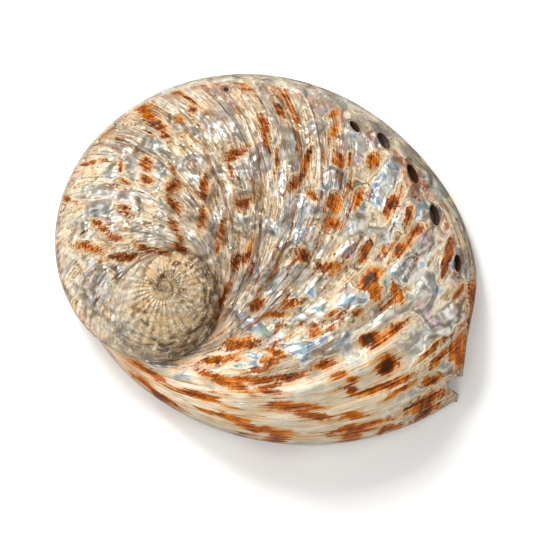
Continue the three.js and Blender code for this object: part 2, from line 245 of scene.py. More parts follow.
@dataclass(frozen=True)
class Relief:
    """Folds and lumps of the back, and what polishing has left of the finer ones.

    Heights are in millimetres. Waves and noises are counted for each radian of growth and each
    whorl width across, and the pairs called ends are where a change starts and is complete.
    """

    fold: float = 0.9
    folds_along: float = 17.0
    fold_lean: float = 3.0
    fold_bend: tuple[float, float] = (1.4, 5.0)
    lump: float = 1.1
    lumps: tuple[float, float] = (11.0, 19.0)
    lump_bend_along: tuple[float, float] = (2.2, 6.0)
    lump_bend_across: tuple[float, float] = (1.6, 7.0)
    inner_ends: Ends = (0.05, 0.4)
    outer_ends: Ends = (0.86, 1.0)
    full_width: float = 80.0

    ridges: float = 42.0
    ridge_height: float = 0.8
    ridge_lean: float = 0.6
    ridge_follow: tuple[float, float] = (0.3, 1.0)
    ridge_turns: tuple[float, float] = (deg(650), deg(735))
    ridges_start: tuple[float, float] = (deg(640), deg(668))
    wander: float = 6.0
    wander_scale: tuple[float, float] = (3.0, 4.0)
    break_level: float = -0.2
    break_least: float = 0.35
    break_scale: tuple[float, float] = (9.0, 11.0)
    break_ends: Ends = (0.1, 0.5)
    pebble: tuple[float, float] = (0.15, 0.105)
    pebble_range: tuple[float, float] = (-0.75, 0.95)
    pebble_ends: Ends = (0.05, 0.75)
    pebble_bend: float = 1.8
    pebble_bend_scale: tuple[float, float] = (8.0, 6.0)
    roughness: float = 1.1
    rough_scale: tuple[float, float] = (12.0, 14.0)

    fine: float = 1.3
    fine_power: float = 0.7
    sharpness: float = 1.8
    level: float = -0.25
    left_above_level: float = 0.4
    deepest: float = -0.5
    highest: float = 0.75
    dents: float = 0.6
    dent_scale: tuple[float, float] = (20.0, 24.0)
    round_top: float = 6.0
    fine_inner_ends: Ends = (0.0, 0.14)
    fine_outer_ends: Ends = (0.92, 1.0)
    fine_outer_fade: float = 0.8
    lip_ends: Ends = (deg(708), deg(730))
    lip_fade: float = 0.75

    ribs: float = 34.0
    rib_height: float = 0.34
    rib_beads: int = 5
    bead_share: float = 0.3
    rib_inner_ends: Ends = (0.1, 0.3)
    rib_outer_ends: Ends = (0.75, 0.95)
    rib_full_width: float = 12.0
    spire_ends: Ends = (deg(440), deg(520))

    def coarse(self, growth: Array, across: Array, width: Array) -> Array:
        """The broad folds and lumps of the solid: products of waves in growth and across."""
        fade = smoothstep(across, *self.inner_ends) * (1 - smoothstep(across, *self.outer_ends))
        bend, often = self.fold_bend
        phase = self.folds_along * growth + bend * np.sin(often * growth)
        fold = np.sin(phase + self.fold_lean * across)
        bend, often = self.lump_bend_along
        lump = np.cos(self.lumps[0] * growth + bend * np.sin(often * across))
        bend, often = self.lump_bend_across
        lump = lump * np.cos(self.lumps[1] * across + bend * np.sin(often * growth))
        size = np.minimum(1.0, width / self.full_width)
        return size * fade * (self.fold * fold + self.lump * lump)

    def unpolished(self, growth: Array, across: Array, lead: Array) -> Array:
        """Ridges on the younger half and pebbles on the older, before polishing, about -1 to 1.

        A ridge follows only a share of a growth line's sweep, so it crosses the lines at a slant,
        and all of it near the lip.
        """

        def scaled(scale: tuple[float, float]) -> tuple[Array, Array]:
            """Places for a noise of a fineness."""
            return scale[0] * growth, scale[1] * across

        wander = rough_noise(*scaled(self.wander_scale), Seed.WANDER)
        follow = between(*self.ridge_follow, smoothstep(growth, *self.ridge_turns))
        phase = self.ridges * (growth + (1 - follow) * lead) + self.wander * wander
        ridge = np.sin(phase + self.ridge_lean * np.sin(phase))
        whole = smoothstep(soft_noise(*scaled(self.break_scale), Seed.BREAKS), *self.break_ends)
        ridge = between(self.break_level, ridge, between(self.break_least, 1.0, whole))
        bend_u, bend_v = (
            self.pebble_bend * rough_noise(*scaled(self.pebble_bend_scale), seed)
            for seed in (Seed.PEBBLE_U, Seed.PEBBLE_V)
        )
        u, v = growth / self.pebble[0] + bend_u, across / self.pebble[1] + bend_v
        pebble = 1 - smoothstep(pebble_distance(u, v, Seed.PEBBLES), *self.pebble_ends)
        young = smoothstep(growth, *self.ridges_start)
        raw = between(between(*self.pebble_range, pebble), self.ridge_height * ridge, young)
        return raw + self.roughness * rough_noise(*scaled(self.rough_scale), Seed.ROUGHNESS)

    def polished(
        self, growth: Array, across: Array, lead: Array, width: Array
    ) -> tuple[Array, Array]:
        """Height that polishing has left, never above 0, and how deep it has cut.

        Args:
            growth: growth line of each spot.
            across: place of each spot across its whorl.
            lead: how far each spot is ahead of its growth line's shoulder end.
            width: whorl width at each spot, in millimetres.

        Returns:
            The height in millimetres and the cut, above 0 where tops are ground away.
        """
        cut = self.sharpness * self.unpolished(growth, across, lead) - self.level
        left = np.where(cut > 0, self.left_above_level * cut, np.maximum(cut, self.deepest))
        dents = rough_noise(self.dent_scale[0] * growth, self.dent_scale[1] * across, Seed.DENTS)
        left = left - self.highest + self.dents * dents
        left = -np.logaddexp(0.0, -self.round_top * left) / self.round_top
        fade = smoothstep(across, *self.fine_inner_ends)
        fade = fade * (1 - self.fine_outer_fade * smoothstep(across, *self.fine_outer_ends))
        fade = fade * (1 - self.lip_fade * smoothstep(growth, *self.lip_ends))
        size = np.minimum(1.0, width / self.full_width) ** self.fine_power
        spire = 1 - smoothstep(growth, *self.spire_ends)
        beads = between(1.0, np.sin(TURN * self.rib_beads * across), self.bead_share)
        rib = np.sin(self.ribs * (growth + lead)) * beads
        rib_fade = smoothstep(across, *self.rib_inner_ends)
        rib_fade = rib_fade * (1 - smoothstep(across, *self.rib_outer_ends))
        ribs = self.rib_height * (rib * rib_fade - 1) * np.minimum(1, width / self.rib_full_width)
        back = self.fine * size * fade * left
        return between(back, ribs, spire), cut


@dataclass(frozen=True)
class Dome:
    """Heights of the back: whorls that bulge between suture and shoulder and round down to the lip."""

    apex_height: float = 39.0
    shoulder_back: float = 10.0
    shoulder_pores: float = 15.0
    shoulder_rises: tuple[float, float] = (deg(560), deg(660))
    spire_radius: float = 26.0
    suture_step: float = 0.11
    bulge_young: float = 0.13
    bulge_adult: float = 0.2
    bulge_grows: tuple[float, float] = (deg(450), deg(730))
    bulge_power: float = 2.4
    bulge_lean: float = 0.85
    lip_round: float = 30.0
    lip_power: float = 2.2
    lip_growth: tuple[float, float] = (deg(590), deg(650))
    most_turns: int = 4
    polished_off: float = 0.2
    spiral: Spiral = Spiral()
    wall: SideWall = SideWall()
    relief: Relief = Relief()

    def shoulder_height(self, turn: Array, radius: Array) -> Array:
        """Shoulder height: a bell round the apex above a floor that rises along the pores."""
        rise = smoothstep(turn, *self.shoulder_rises)
        floor = between(self.shoulder_back, self.shoulder_pores, rise)
        return floor + (self.apex_height - floor) * np.exp(-((radius / self.spire_radius) ** 2))

    def lip_share(self, spots: Spots) -> Array:
        """Share of the full height, which rounds down to 0 at the lip like a flattened circle."""
        late = smoothstep(spots.growth, *self.lip_growth)
        inset = np.minimum(1.0, self.spiral.lip_distance(spots.x, spots.y) / self.lip_round)
        rounded = (1 - (1 - inset) ** self.lip_power) ** (1 / self.lip_power)
        return between(1.0, rounded, late)

    def back_height(self, spots: Spots, detailed: bool) -> tuple[Array, Array]:
        """Height of the back and the polishing's cut at spots between suture and shoulder.

        Args:
            spots: places on the back.
            detailed: whether the finer, polished relief is carved in.

        Returns:
            Heights in millimetres and the cut, which is 0 everywhere unless detailed.
        """
        inner = self.spiral.suture_radius(spots.turn)
        outer = self.spiral.shoulder_radius(spots.turn)
        before = inner / self.spiral.suture_gap
        width = outer - inner
        out = np.clip((spots.radius - inner) / width, 0.0, 1.0)
        at_suture = self.shoulder_height(spots.turn - TURN, before) - self.suture_step * before
        at_shoulder = self.shoulder_height(spots.turn, outer)
        grown = smoothstep(spots.turn, *self.bulge_grows)
        bulge = between(self.bulge_young, self.bulge_adult, grown)
        crest = 1 - np.abs(2 * out**self.bulge_lean - 1) ** self.bulge_power
        height = between(at_suture, at_shoulder, out) + bulge * width * crest
        height = height + self.relief.coarse(spots.growth, spots.across, width)
        fine, cut = 0.0, np.zeros_like(height)
        if detailed:
            lead = self.spiral.lead(spots.across)
            fine, cut = self.relief.polished(spots.growth, spots.across, lead, width)
        return (height + fine - self.polished_off) * self.lip_share(spots), cut

    def find(self, x: Array, y: Array) -> Spots:
        """Spots on the outside above plan places: the plan formula turned round, lap by lap.

        Args:
            x: plan places along X.
            y: plan places along Y.

        Returns:
            The spots, with a growth past the lip where a place is outside the rim.
        """
        spiral, wall = self.spiral, self.wall
        radius = np.hypot(x - spiral.apex[0], y - spiral.apex[1])
        angle = np.arctan2(spiral.apex[1] - y, x - spiral.apex[0])
        growth = np.full(np.shape(x), 2 * spiral.lip_turn)
        across, turn = np.ones_like(growth), angle + (self.most_turns - 1) * TURN
        for lap in reversed(range(self.most_turns)):
            here = angle + lap * TURN
            outer, inner = spiral.shoulder_radius(here), spiral.suture_radius(here)
            share = np.log(np.maximum(radius, inner) / inner) / np.log(outer / inner)
            beyond = (radius - outer) / wall.reach(here)
            free = (here > spiral.lip_turn - TURN + spiral.sweep) & (here < spiral.lip_turn)
            on_wall = free & (beyond > 0) & (beyond <= 1)
            down = 1 - np.sqrt(1 - np.clip(beyond, 0, 1))
            share = np.where(on_wall, 1 + down, share)
            line = here - spiral.lead(np.minimum(share, 1.0))
            chosen = ((radius <= outer) & (line <= spiral.lip_turn)) | on_wall
            growth = np.where(chosen, line, growth)
            across = np.where(chosen, share, across)
            turn = np.where(chosen, here, turn)
        return Spots(growth, across, turn, radius, x, y)

    def outside_height(self, spots: Spots, detailed: bool) -> tuple[Array, Array]:
        """Height and cut of found spots on the back or the wall, 0 outside the rim."""
        edge = np.minimum(spots.radius, self.spiral.shoulder_radius(spots.turn))
        top_spots = Spots(
            spots.growth,
            np.minimum(spots.across, 1.0),
            spots.turn,
            edge,
            *self.spiral.plan(spots.turn, edge),
        )
        top, cut = self.back_height(top_spots, detailed)
        down = np.clip(spots.across - 1, 0, 1)
        side = self.wall.height(top, self.wall.foot, self.wall.reach(spots.turn), down)
        height = np.where(spots.across > 1, side, top)
        return np.where(spots.growth > self.spiral.lip_turn, 0.0, height), cut


@dataclass(frozen=True)
class Hollow:
    """The hollow underneath: a ball as thick as the wall rolled under the outside."""

    wall: float = 2.4
    rim_width: float = 2.6
    rim_round: float = 0.5
    shelf_width: float = 6.0
    shelf_ends: Ends = (0.1, 0.7)
    shelf_close: tuple[float, float] = (0.93, 1.0)
    rim_bevel: tuple[float, float] = (0.2, 0.3)
    centre: tuple[float, float] = (6.0, -2.0)
    smoothing: float = 3.6
    smooth_ends: Ends = (34.0, 50.0)
    step: float = 0.75
    half: float = 78.0
    rings: int = 44
    ease: float = 1.7
    even_rays: int = 4
    even_rings: int = 8

    def evened(self, bearing: Array) -> Array:
        """Bearings of the rays round the whole rim, each the mean of its neighbours', so none cross."""
        turn = np.sign(bearing[-1] - bearing[0]) * TURN
        reach = self.even_rays
        padded = np.concatenate([bearing[-reach:] - turn, bearing, bearing[:reach] + turn])
        return np.convolve(padded, np.full(2 * reach + 1, 1 / (2 * reach + 1)), "valid")

    def disc(self, radius: float) -> list[tuple[int, int, float]]:
        """Grid shifts inside a radius, each with its distance."""
        reach = int(radius / self.step)
        span = range(-reach, reach + 1)
        shifts = [(r, c, self.step * math.hypot(r, c)) for r in span for c in span]
        return [shift for shift in shifts if shift[2] <= radius]

    @staticmethod
    def shifted(heights: Array, rows: int, columns: int) -> Array:
        """A grid of heights moved by whole steps."""
        return np.roll(heights, (rows, columns), (0, 1))

    def roof(self, dome: Dome) -> Array:
        """Heights of the hollow's roof on a square grid, smoothed under the spire."""
        line = np.arange(-self.half, self.half + self.step / 2, self.step)
        x, y = np.meshgrid(line, line, indexing="ij")
        outside = dome.outside_height(dome.find(x, y), detailed=False)[0]
        ball = [
            self.shifted(outside, r, c) - math.sqrt(self.wall**2 - far**2)
            for r, c, far in self.disc(self.wall)
        ]
        roof = np.minimum.reduce(ball)
        near = self.disc(self.smoothing)
        lowest = np.minimum.reduce([self.shifted(roof, r, c) for r, c, _ in near])
        smooth = sum(self.shifted(lowest, r, c) for r, c, _ in near) / len(near)
        from_apex = np.hypot(x - dome.spiral.apex[0], y - dome.spiral.apex[1])
        share = smoothstep(from_apex, *self.smooth_ends)
        return np.maximum(0.0, between(smooth, roof, share))

    def roof_at(self, roof: Array, x: Array, y: Array) -> Array:
        """Height of the roof above plan places, linear between the grid's points."""
        u, v = (x + self.half) / self.step, (y + self.half) / self.step
        i, j = np.floor(u).astype(int), np.floor(v).astype(int)
        low = between(roof[i, j], roof[i + 1, j], u - i)
        high = between(roof[i, j + 1], roof[i + 1, j + 1], u - i)
        return between(low, high, v - j)


@dataclass(frozen=True)
class Pore:
    """A breathing pore: turn and radius of its centre, length along the row, and width."""

    turn: float
    radius: float
    length: float
    width: float


@dataclass(frozen=True)
class HealedPore(Pore):
    """A pore that has grown shut: a dimple, as deeply stained as given."""

    stain: float = 0.6


OPEN_PORES = (
    Pore(deg(679.8), 81.4, 4.4, 2.9),
    Pore(deg(686.2), 86.3, 6.2, 4.0),
    Pore(deg(695.5), 89.3, 6.8, 3.7),
    Pore(deg(705.2), 91.5, 7.0, 4.3),
    Pore(deg(715.5), 96.4, 5.6, 3.4),
)
NOTCH = Pore(deg(738.8), 101.5, 5.4, 6.0)
HEALED_PORES = (
    HealedPore(deg(577.0), 43.0, 4.2, 2.6),
    HealedPore(deg(587.0), 46.2, 4.2, 2.6),
    HealedPore(deg(596.0), 49.6, 4.4, 2.6),
    HealedPore(deg(604.0), 52.8, 4.4, 2.6),
    HealedPore(deg(611.0), 55.6, 4.6, 2.8),
    # Stained to 1, this one takes the bores' dark colour in its middle: the painted shade of a small
    # hole.
    HealedPore(deg(647.0), 67.8, 4.2, 3.4, stain=1.0),
)

# Rust-coloured marks: plan place, length, width and lean in degrees from +X, in millimetres.
MARKS = (
    (9.3, -48, 19.2, 2.2, -1), (16.1, -51.3, 16, 3.2, -10), (28.2, -51.1, 11, 3, 12),
    (30.1, -54.6, 27, 2.4, 11), (28.2, -58.8, 9, 4.5, 15), (40.6, -56.2, 9, 3, 22),
    (52.1, -46.9, 15, 4, 28), (53, -50.6, 11, 2.4, 31), (36.7, -41.7, 23, 3.6, 18),
    (43.9, -43.1, 13, 2, 29), (54.7, -29.3, 14, 2, 40), (54.4, -39.6, 8, 2.6, 32),
    (57, -32.4, 9, 2, 47), (63.1, -29.1, 9, 4, 60), (63.8, -32.4, 7, 3, 80), (68, -11.8, 12, 3, 90),
    (67.5, -17.9, 14, 2, 85), (35.2, -25.8, 10, 5, 10), (41.8, -22.3, 9, 3, 28), (39, -33.8, 9, 7, 30),
    (18.4, -34.3, 9, 3.2, 20), (23.6, -37.5, 6, 3, 25), (27.8, -38.7, 5, 1.8, 15),
    (8.8, -38, 10, 3, 14), (0.6, -41.3, 9, 1.8, 5), (1.1, -42.9, 10, 2.2, -8), (27.7, -42.7, 4, 3, 20),
    (3.4, -56.9, 11, 1.9, -5), (3.4, -59, 9, 3.5, 0), (3, -30, 7, 2.8, -20), (1.1, -33.3, 5, 3.2, 5),
    (15.1, -23, 4, 3.5, 60), (21.2, -17.4, 5, 2, 25), (29.2, -16.7, 3.2, 2.8, 0),
    (7.7, -14.6, 8, 2.6, 22), (3, -18.1, 6.5, 2.2, 5), (11.9, 1.1, 6, 4, -25), (20, -2.7, 7.5, 4, 10),
    (32.2, 2.8, 8, 3.2, 60), (33.4, -6.2, 9, 4.5, 35), (35.2, -10.9, 4.5, 5.5, 0),
    (42.7, -10.9, 7.5, 3, -65), (59.6, -1, 10, 2, 65), (63.5, -10.9, 5, 1.8, 65),
    (24, 32.5, 4.4, 3.4, 90), (27.2, 33, 4.2, 1.8, 90), (34.8, 32.5, 5.5, 4.5, 60),
    (12.8, 31, 12, 2.2, 72), (22.1, 18.3, 6, 5.5, -50), (21.6, 11.4, 6, 4, 10),
    (29.9, 19.7, 5.5, 2.4, 75), (41.6, 18.3, 10, 3.6, 55), (46.5, 13.7, 7, 2.6, 75), (49, 9, 8, 3, 30),
    (44, 3.6, 9, 3, 50), (21.6, 41.7, 7, 2, 70), (22, 47.6, 4, 2.2, 20), (15.2, 20.2, 5, 2.8, -40),
    (-0.9, 43.2, 9, 2.2, -70), (4, 48.6, 7, 2.6, -60), (8.9, 24.6, 5, 3, 60), (3.5, 32.4, 12, 1.5, 85),
    (-10.5, 34.5, 9, 4, 25), (-7.8, 18.3, 6, 5, 30), (-5.8, 2.1, 10, 3.2, 70), (-9.7, -1.3, 8, 4, 60),
    (-2.9, -14.5, 6, 4, 40), (59.7, 2.1, 10, 2, 70), (-41.5, 50.6, 8, 4, -10),
    (-37.4, 45.8, 13, 3.6, -38), (-33, 40.1, 6, 2.6, -50), (-39, 31.3, 4.4, 4.4, 0),
    (-39.2, 26.2, 4.6, 3.8, -20), (-30.2, 23.6, 6, 4.5, 45), (-29.8, 17.5, 8, 3.2, -50),
    (-30.2, 28.8, 5, 1.8, -60), (-45.9, 16.3, 6, 2.8, -38), (-20.1, 23.2, 11, 3.2, 80),
    (-20.5, 13.1, 9, 3.4, 75), (-14.8, 9.4, 9, 2.6, 75), (-16, 3.8, 6, 1.8, 70),
    (-30.2, 11, 5, 3.2, -45), (-28.5, 7, 5, 2, -50), (-27.3, 3, 7, 3.6, -35),
    (-47.9, 30.8, 5, 1.8, -80), (-46.3, 25.2, 4, 1.6, -30), (-28.1, 46.2, 3, 3, 0),
    (-24, 49.4, 3, 3, 0), (-66.1, 19.5, 6, 1.8, -10), (-58.8, 31.7, 8, 1.6, 5),
    (-55.2, 11.5, 5, 2.2, -40), (-53.6, 9.6, 4, 1.8, -20), (-50.3, 7, 7, 2.6, -15),
    (-57.6, 3.8, 12, 3.4, -8), (-46.3, 0.6, 12, 3.2, 0), (-39.9, 3.8, 8, 2.6, -25),
    (-33.4, 2.1, 8, 2.2, -25), (-26.5, 53, 10, 1.5, -35), (-36, -44.2, 26, 2.4, -37),
    (-39, -37, 20, 2.2, -30), (-21.3, -45, 19, 3, -18), (-13, -40, 21, 3.4, -24), (-3, -39, 27, 2.2, 5),
    (-9.5, -52.2, 15, 2.8, -16), (-1.5, -55.8, 22, 2.5, -11), (5.4, -47.7, 14, 4, 0),
    (-8.8, -27.5, 12, 4, 12), (-14.5, -14, 17, 3, 68), (-15.5, -33, 14, 2, 6),
)
# The darkest of them, nearly black in the middle, and the pits beside the apex.
DARK_MARKS = (
    (33.4, -6.2, 7.0, 4.5, 40), (32.4, -25.8, 6.0, 4.5, 10), (39.0, -34.2, 7.0, 5.0, 35),
    (40.9, 17.6, 5.0, 2.2, 60), (-29.5, -1.7, 2.2, 1.5, 0), (-30.2, -3.8, 1.9, 1.3, -20),
    (-34.1, -4.7, 2.8, 1.3, 40), (-36.8, -7.6, 1.6, 2.6, 20),
)


class Slot(IntEnum):
    """Material slots of the shell's mesh."""

    BACK = 0
    PEARL = 1


class MeshParts:
    """Collects points with their values, and faces with their corners' places on the growth lines."""

    # bore is 1 down the pores' bores, which the back's material paints dark brown with painted shade,
    # and up to their stain in healed pores.
    VALUES = ("cut", "rust", "bore")

    def __init__(self) -> None:
        """Start with nothing."""
        self.points: list[Array] = []
        self.values: dict[str, list[Array]] = {name: [] for name in self.VALUES}
        self.faces: list[Array] = []
        self.corners: list[Array] = []
        self.slots: list[int] = []
        self.count = 0

    def add_points(self, x: Array, y: Array, z: Array, **values: Array) -> Array:
        """Add points of any array shape.

        Args:
            x: places along X, in millimetres.
            y: places along Y.
            z: heights.
            values: any of VALUES, 0 where left out.

        Returns:
            The new points' numbers, in the same shape.
        """
        x, y, z = np.broadcast_arrays(x, y, z)
        self.points.append(np.stack([x, y, z], -1).reshape(-1, 3))
        for name in self.VALUES:
            self.values[name].append(np.broadcast_to(values.get(name, 0.0), x.shape).ravel())
        ids = self.count + np.arange(x.size).reshape(x.shape)
        self.count += x.size
        return ids

    def add_faces(self, ids: Array, corners: Array, slot: Slot) -> None:
        """Add faces given by rows of point numbers; a corner that repeats its neighbour is dropped."""
        repeats = ids == np.roll(ids, -1, axis=1)
        whole = ~repeats.any(axis=1)
        self.faces.extend(ids[whole].tolist())
        self.corners.append(corners[whole].reshape(-1, 2))
        for row, kept, places in zip(ids[~whole], ~repeats[~whole], corners[~whole]):
            self.faces.append(row[kept].tolist())
            self.corners.append(places[kept])
        self.slots.extend([int(slot)] * len(ids))

    def add_grid(self, ids: Array, corners: Array, slot: Slot, keep: Array | None = None) -> None:
        """Add the four-sided faces of a grid of points, all of them or those to keep."""
        around = (np.s_[:-1, :-1], np.s_[1:, :-1], np.s_[1:, 1:], np.s_[:-1, 1:])
        quads = np.stack([ids[part] for part in around], -1)
        places = np.stack([corners[part] for part in around], -2)
        chosen = np.ones(quads.shape[:2], bool) if keep is None else keep
        self.add_faces(quads[chosen], places[chosen], slot)

    def add_stitch(self, coarse: Array, fine: Array, places: tuple[Array, Array], slot: Slot) -> None:
        """Add a strip of faces between a row of points and the next one, which has several to each."""
        ratio = (len(fine) - 1) // (len(coarse) - 1)
        starts = np.arange(len(coarse) - 1)
        along = starts[:, None] * ratio + np.arange(ratio + 1)
        ids = np.column_stack([coarse[:-1], fine[along], coarse[1:]])
        corners = np.concatenate(
            [places[0][:-1, None], places[1][along], places[0][1:, None]], axis=1
        )
        self.add_faces(ids, corners, slot)

    def build(self, name: str, finishes: list[bpy.types.Material]) -> bpy.types.Object:
        """Make the mesh object, smooth-shaded, in metres."""
        mesh = bpy.data.meshes.new(name)
        points = np.concatenate(self.points) * MM
        mesh.from_pydata(points.tolist(), [], self.faces)
        uv = mesh.uv_layers.new(name=LINES_UV)
        uv.data.foreach_set("uv", np.concatenate(self.corners).astype(np.float32).ravel())
        for value, parts in self.values.items():
            attribute = mesh.attributes.new(value, "FLOAT", "POINT")
            attribute.data.foreach_set("value", np.concatenate(parts).astype(np.float32))
        for finish in finishes:
            mesh.materials.append(finish)
        mesh.polygons.foreach_set("material_index", np.array(self.slots, np.int32))
        mesh.polygons.foreach_set("use_smooth", np.ones(len(mesh.polygons), bool))
        mesh.update()
        piece = bpy.data.objects.new(name, mesh)
        bpy.context.scene.collection.objects.link(piece)
        return piece


@dataclass
class Shell:
    """The whole shell: back, side wall, rim, hollow and pores, as one closed mesh."""

    dome: Dome = field(default_factory=Dome)
    hollow: Hollow = field(default_factory=Hollow)
    rows: int = 400
    row_ease: float = 1.2
    across_steps: tuple[int, ...] = (12, 24, 96)
    wall_steps: tuple[int, ...] = (4, 8, 16)
    across_ease: float = 1.25
    patch: tuple[int, int] = (5, 4)
    pore_rings: int = 7
    pore_rim: float = 0.22
    bore_rings: int = 5
    bore_taper: float = 0.86
    bore_ramp_power: int = 6
    healed_depth: float = 1.5
    healed_ends: Ends = (0.25, 1.1)
    nucleus_drop: float = 0.6
    nucleus_swell: float = 0.35
    mark_waver: float = 2.2
    mark_waver_length: float = 4.0
    mark_edge: float = 0.55
    mark_depth: float = 1.0
    dark_mark_depth: float = 2.4
    parts: MeshParts = field(default_factory=MeshParts)

    def rust_at(self, x: Array, y: Array) -> Array:
        """How rust-coloured a plan place is: over 0.5 inside a mark, with wavering edges."""
        u, v = x / self.mark_waver_length, y / self.mark_waver_length
        wave_x = x + self.mark_waver * rough_noise(u, v, Seed.MARKS_X)
        wave_y = y + self.mark_waver * rough_noise(u, v, Seed.MARKS_Y)
        rust = np.zeros(np.shape(x))
        depths = [self.mark_depth] * len(MARKS) + [self.dark_mark_depth] * len(DARK_MARKS)
        for (mark_x, mark_y, length, width, lean), depth in zip(MARKS + DARK_MARKS, depths):
            c, s = math.cos(deg(lean)), math.sin(deg(lean))
            along = (c * (wave_x - mark_x) + s * (wave_y - mark_y)) / (length / 2)
            aside = (c * (wave_y - mark_y) - s * (wave_x - mark_x)) / (width / 2)
            rust = np.maximum(rust, between(depth, self.mark_edge, np.hypot(along, aside)))
        return rust

    def from_pore(self, pore: Pore, x: Array, y: Array) -> tuple[Array, Array]:
        """How far plan places are along the row and outwards from a pore's centre."""
        middle_x, middle_y = self.dome.spiral.plan(pore.turn, pore.radius)
        c, s = math.cos(pore.turn), math.sin(pore.turn)
        along = (x - middle_x) * s + (y - middle_y) * c
        return along, (x - middle_x) * c - (y - middle_y) * s

    def notched(self, x: Array, y: Array, margin: float) -> tuple[Array, Array]:
        """Plan places drawn in to the edge of the broken notch, or a margin inside it."""
        along, out = self.from_pore(NOTCH, x, y)
        room = 1 - (along / (NOTCH.length / 2 + margin)) ** 2
        edge = -(NOTCH.width / 2 + margin) * np.sqrt(np.maximum(room, 0))
        over = np.where(room > 0, np.maximum(0, out - edge), 0)
        return x - over * math.cos(NOTCH.turn), y + over * math.sin(NOTCH.turn)

    def healed_at(self, x: Array, y: Array) -> Array:
        """How stained by a healed pore a plan place is: most in its middle, 0 from its edge on."""
        depth = np.zeros(np.shape(x))
        for pore in HEALED_PORES:
            along, out = self.from_pore(pore, x, y)
            far = np.hypot(out / (pore.width / 2), along / (pore.length / 2))
            inside = 1 - smoothstep(far, *self.healed_ends)
            depth = np.maximum(depth, pore.stain * inside)
        return depth

    def add_outside_points(
        self, x: Array, y: Array, z: Array, cut: Array, bore: Array = 0.0
    ) -> Array:
        """Add points of the outside, notched, dimpled and marked."""
        notched_x, notched_y = self.notched(x, y, 0.0)
        healed = self.healed_at(x, y)
        return self.parts.add_points(
            notched_x,
            notched_y,
            np.maximum(z - self.healed_depth * healed, np.minimum(z, self.dome.wall.foot)),
            cut=cut,
            rust=self.rust_at(x, y),
            bore=np.maximum(bore, healed),
        )

    def growth_rows(self, lap: int) -> Array:
        """Growth lines of a lap, closer together towards its end."""
        angle = TURN - self.dome.spiral.sweep
        start = self.dome.spiral.lip_turn - (len(self.across_steps) - lap) * angle
        share = np.linspace(0.0, 1.0, self.rows + 1)
        return start + angle * (1 - (1 - share) ** self.row_ease)

    def add_bands(self) -> tuple[list[Array], list[Array], list[Array]]:
        """Add the back's points, lap by lap; a lap's last line is the next lap's first.

        Returns:
            For each lap: point numbers, corner places and heights, with rows along the growth.
        """
        bands, places, heights = [], [], []
        for lap, steps in enumerate(self.across_steps):
            is_last = lap == len(self.across_steps) - 1
            growth = self.growth_rows(lap)[: None if is_last else -1]
            across = 1 - (1 - np.linspace(0, 1, steps + 1)) ** self.across_ease
            growth, across = np.meshgrid(growth, across, indexing="ij")
            spots = self.dome.spiral.back_spots(growth, across)
            z, cut = self.dome.back_height(spots, detailed=True)
            if is_last:
                z[-1] = self.dome.wall.foot
            z = np.maximum(z, self.dome.wall.foot)
            bands.append(self.add_outside_points(spots.x, spots.y, z, cut))
            places.append(np.stack([growth, across], -1))
            heights.append(z)
        return bands, places, heights

    def add_walls(self, bands: list[Array], heights: list[Array]) -> tuple[list[Array], list[Array]]:
        """Add the walls' points: each early wall ends on the next lap's suture, the last on the rim.

        Args:
            bands: point numbers of the back.
            heights: heights of the back.

        Returns:
            For each lap: point numbers and corner places from the shoulder to the wall's foot.
        """
        spiral, wall = self.dome.spiral, self.dome.wall
        walls, places = [], []
        for lap, steps in enumerate(self.wall_steps):
            is_last = lap == len(self.wall_steps) - 1
            growth = self.growth_rows(lap)[:-1]
            down = np.linspace(0, 1, steps + 1)
            growth, down = np.meshgrid(growth, down, indexing="ij")
            outer = spiral.shoulder_radius(growth)
            top = heights[lap][: self.rows, -1:]
            low = wall.foot if is_last else heights[lap + 1][: self.rows, :1]
            narrow = outer * (spiral.suture_gap - 1)
            reach = wall.reach(growth) if is_last else narrow
            out = wall.out(growth, down) if is_last else narrow * (2 * down - down**2)
            z = wall.height(top, low, reach, down)
            x, y = spiral.plan(growth, outer + out)
            inner_x, inner_y = x[:, 1:], y[:, 1:]
            ids = self.add_outside_points(inner_x, inner_y, z[:, 1:], cut=np.zeros_like(inner_x))
            ids = np.column_stack([bands[lap][: self.rows, -1], ids])
            if is_last:
                ids[0, -1] = bands[lap][-1, 0]
                tip = np.full((1, steps + 1), bands[lap][-1, -1])
                ids = np.concatenate([ids, tip])
                growth = np.concatenate([growth, np.full((1, steps + 1), spiral.lip_turn)])
                down = np.concatenate([down, down[:1]])
            else:
                ids[:, -1] = bands[lap + 1][: self.rows, 0]
            walls.append(ids)
            places.append(np.stack([growth, 1 + down], -1))
        return walls, places

    def add_nucleus(self, band: Array, wall: Array, after: Array, place: Array) -> None:
        """Close the first whorl: a ring of faces and a fan up to the apex."""
        loop = np.concatenate([band[:, 0], after[:1, 0], wall[0, -2:0:-1], band[0, :0:-1]])
        apex = np.array([*self.dome.spiral.apex, self.dome.apex_height - self.nucleus_drop])
        rim = np.concatenate(self.parts.points)[loop]
        middle = (rim + apex) / 2 + np.array([0, 0, self.nucleus_swell])
        ring = self.parts.add_points(*middle.T)
        top = self.parts.add_points(*apex)
        corners = np.broadcast_to(place, (len(loop) + 1, 3, 2))
        grid = np.stack([loop, ring, np.full_like(loop, top)], -1)
        grid = np.concatenate([grid, grid[:1]])
        self.parts.add_grid(grid, corners, Slot.BACK)

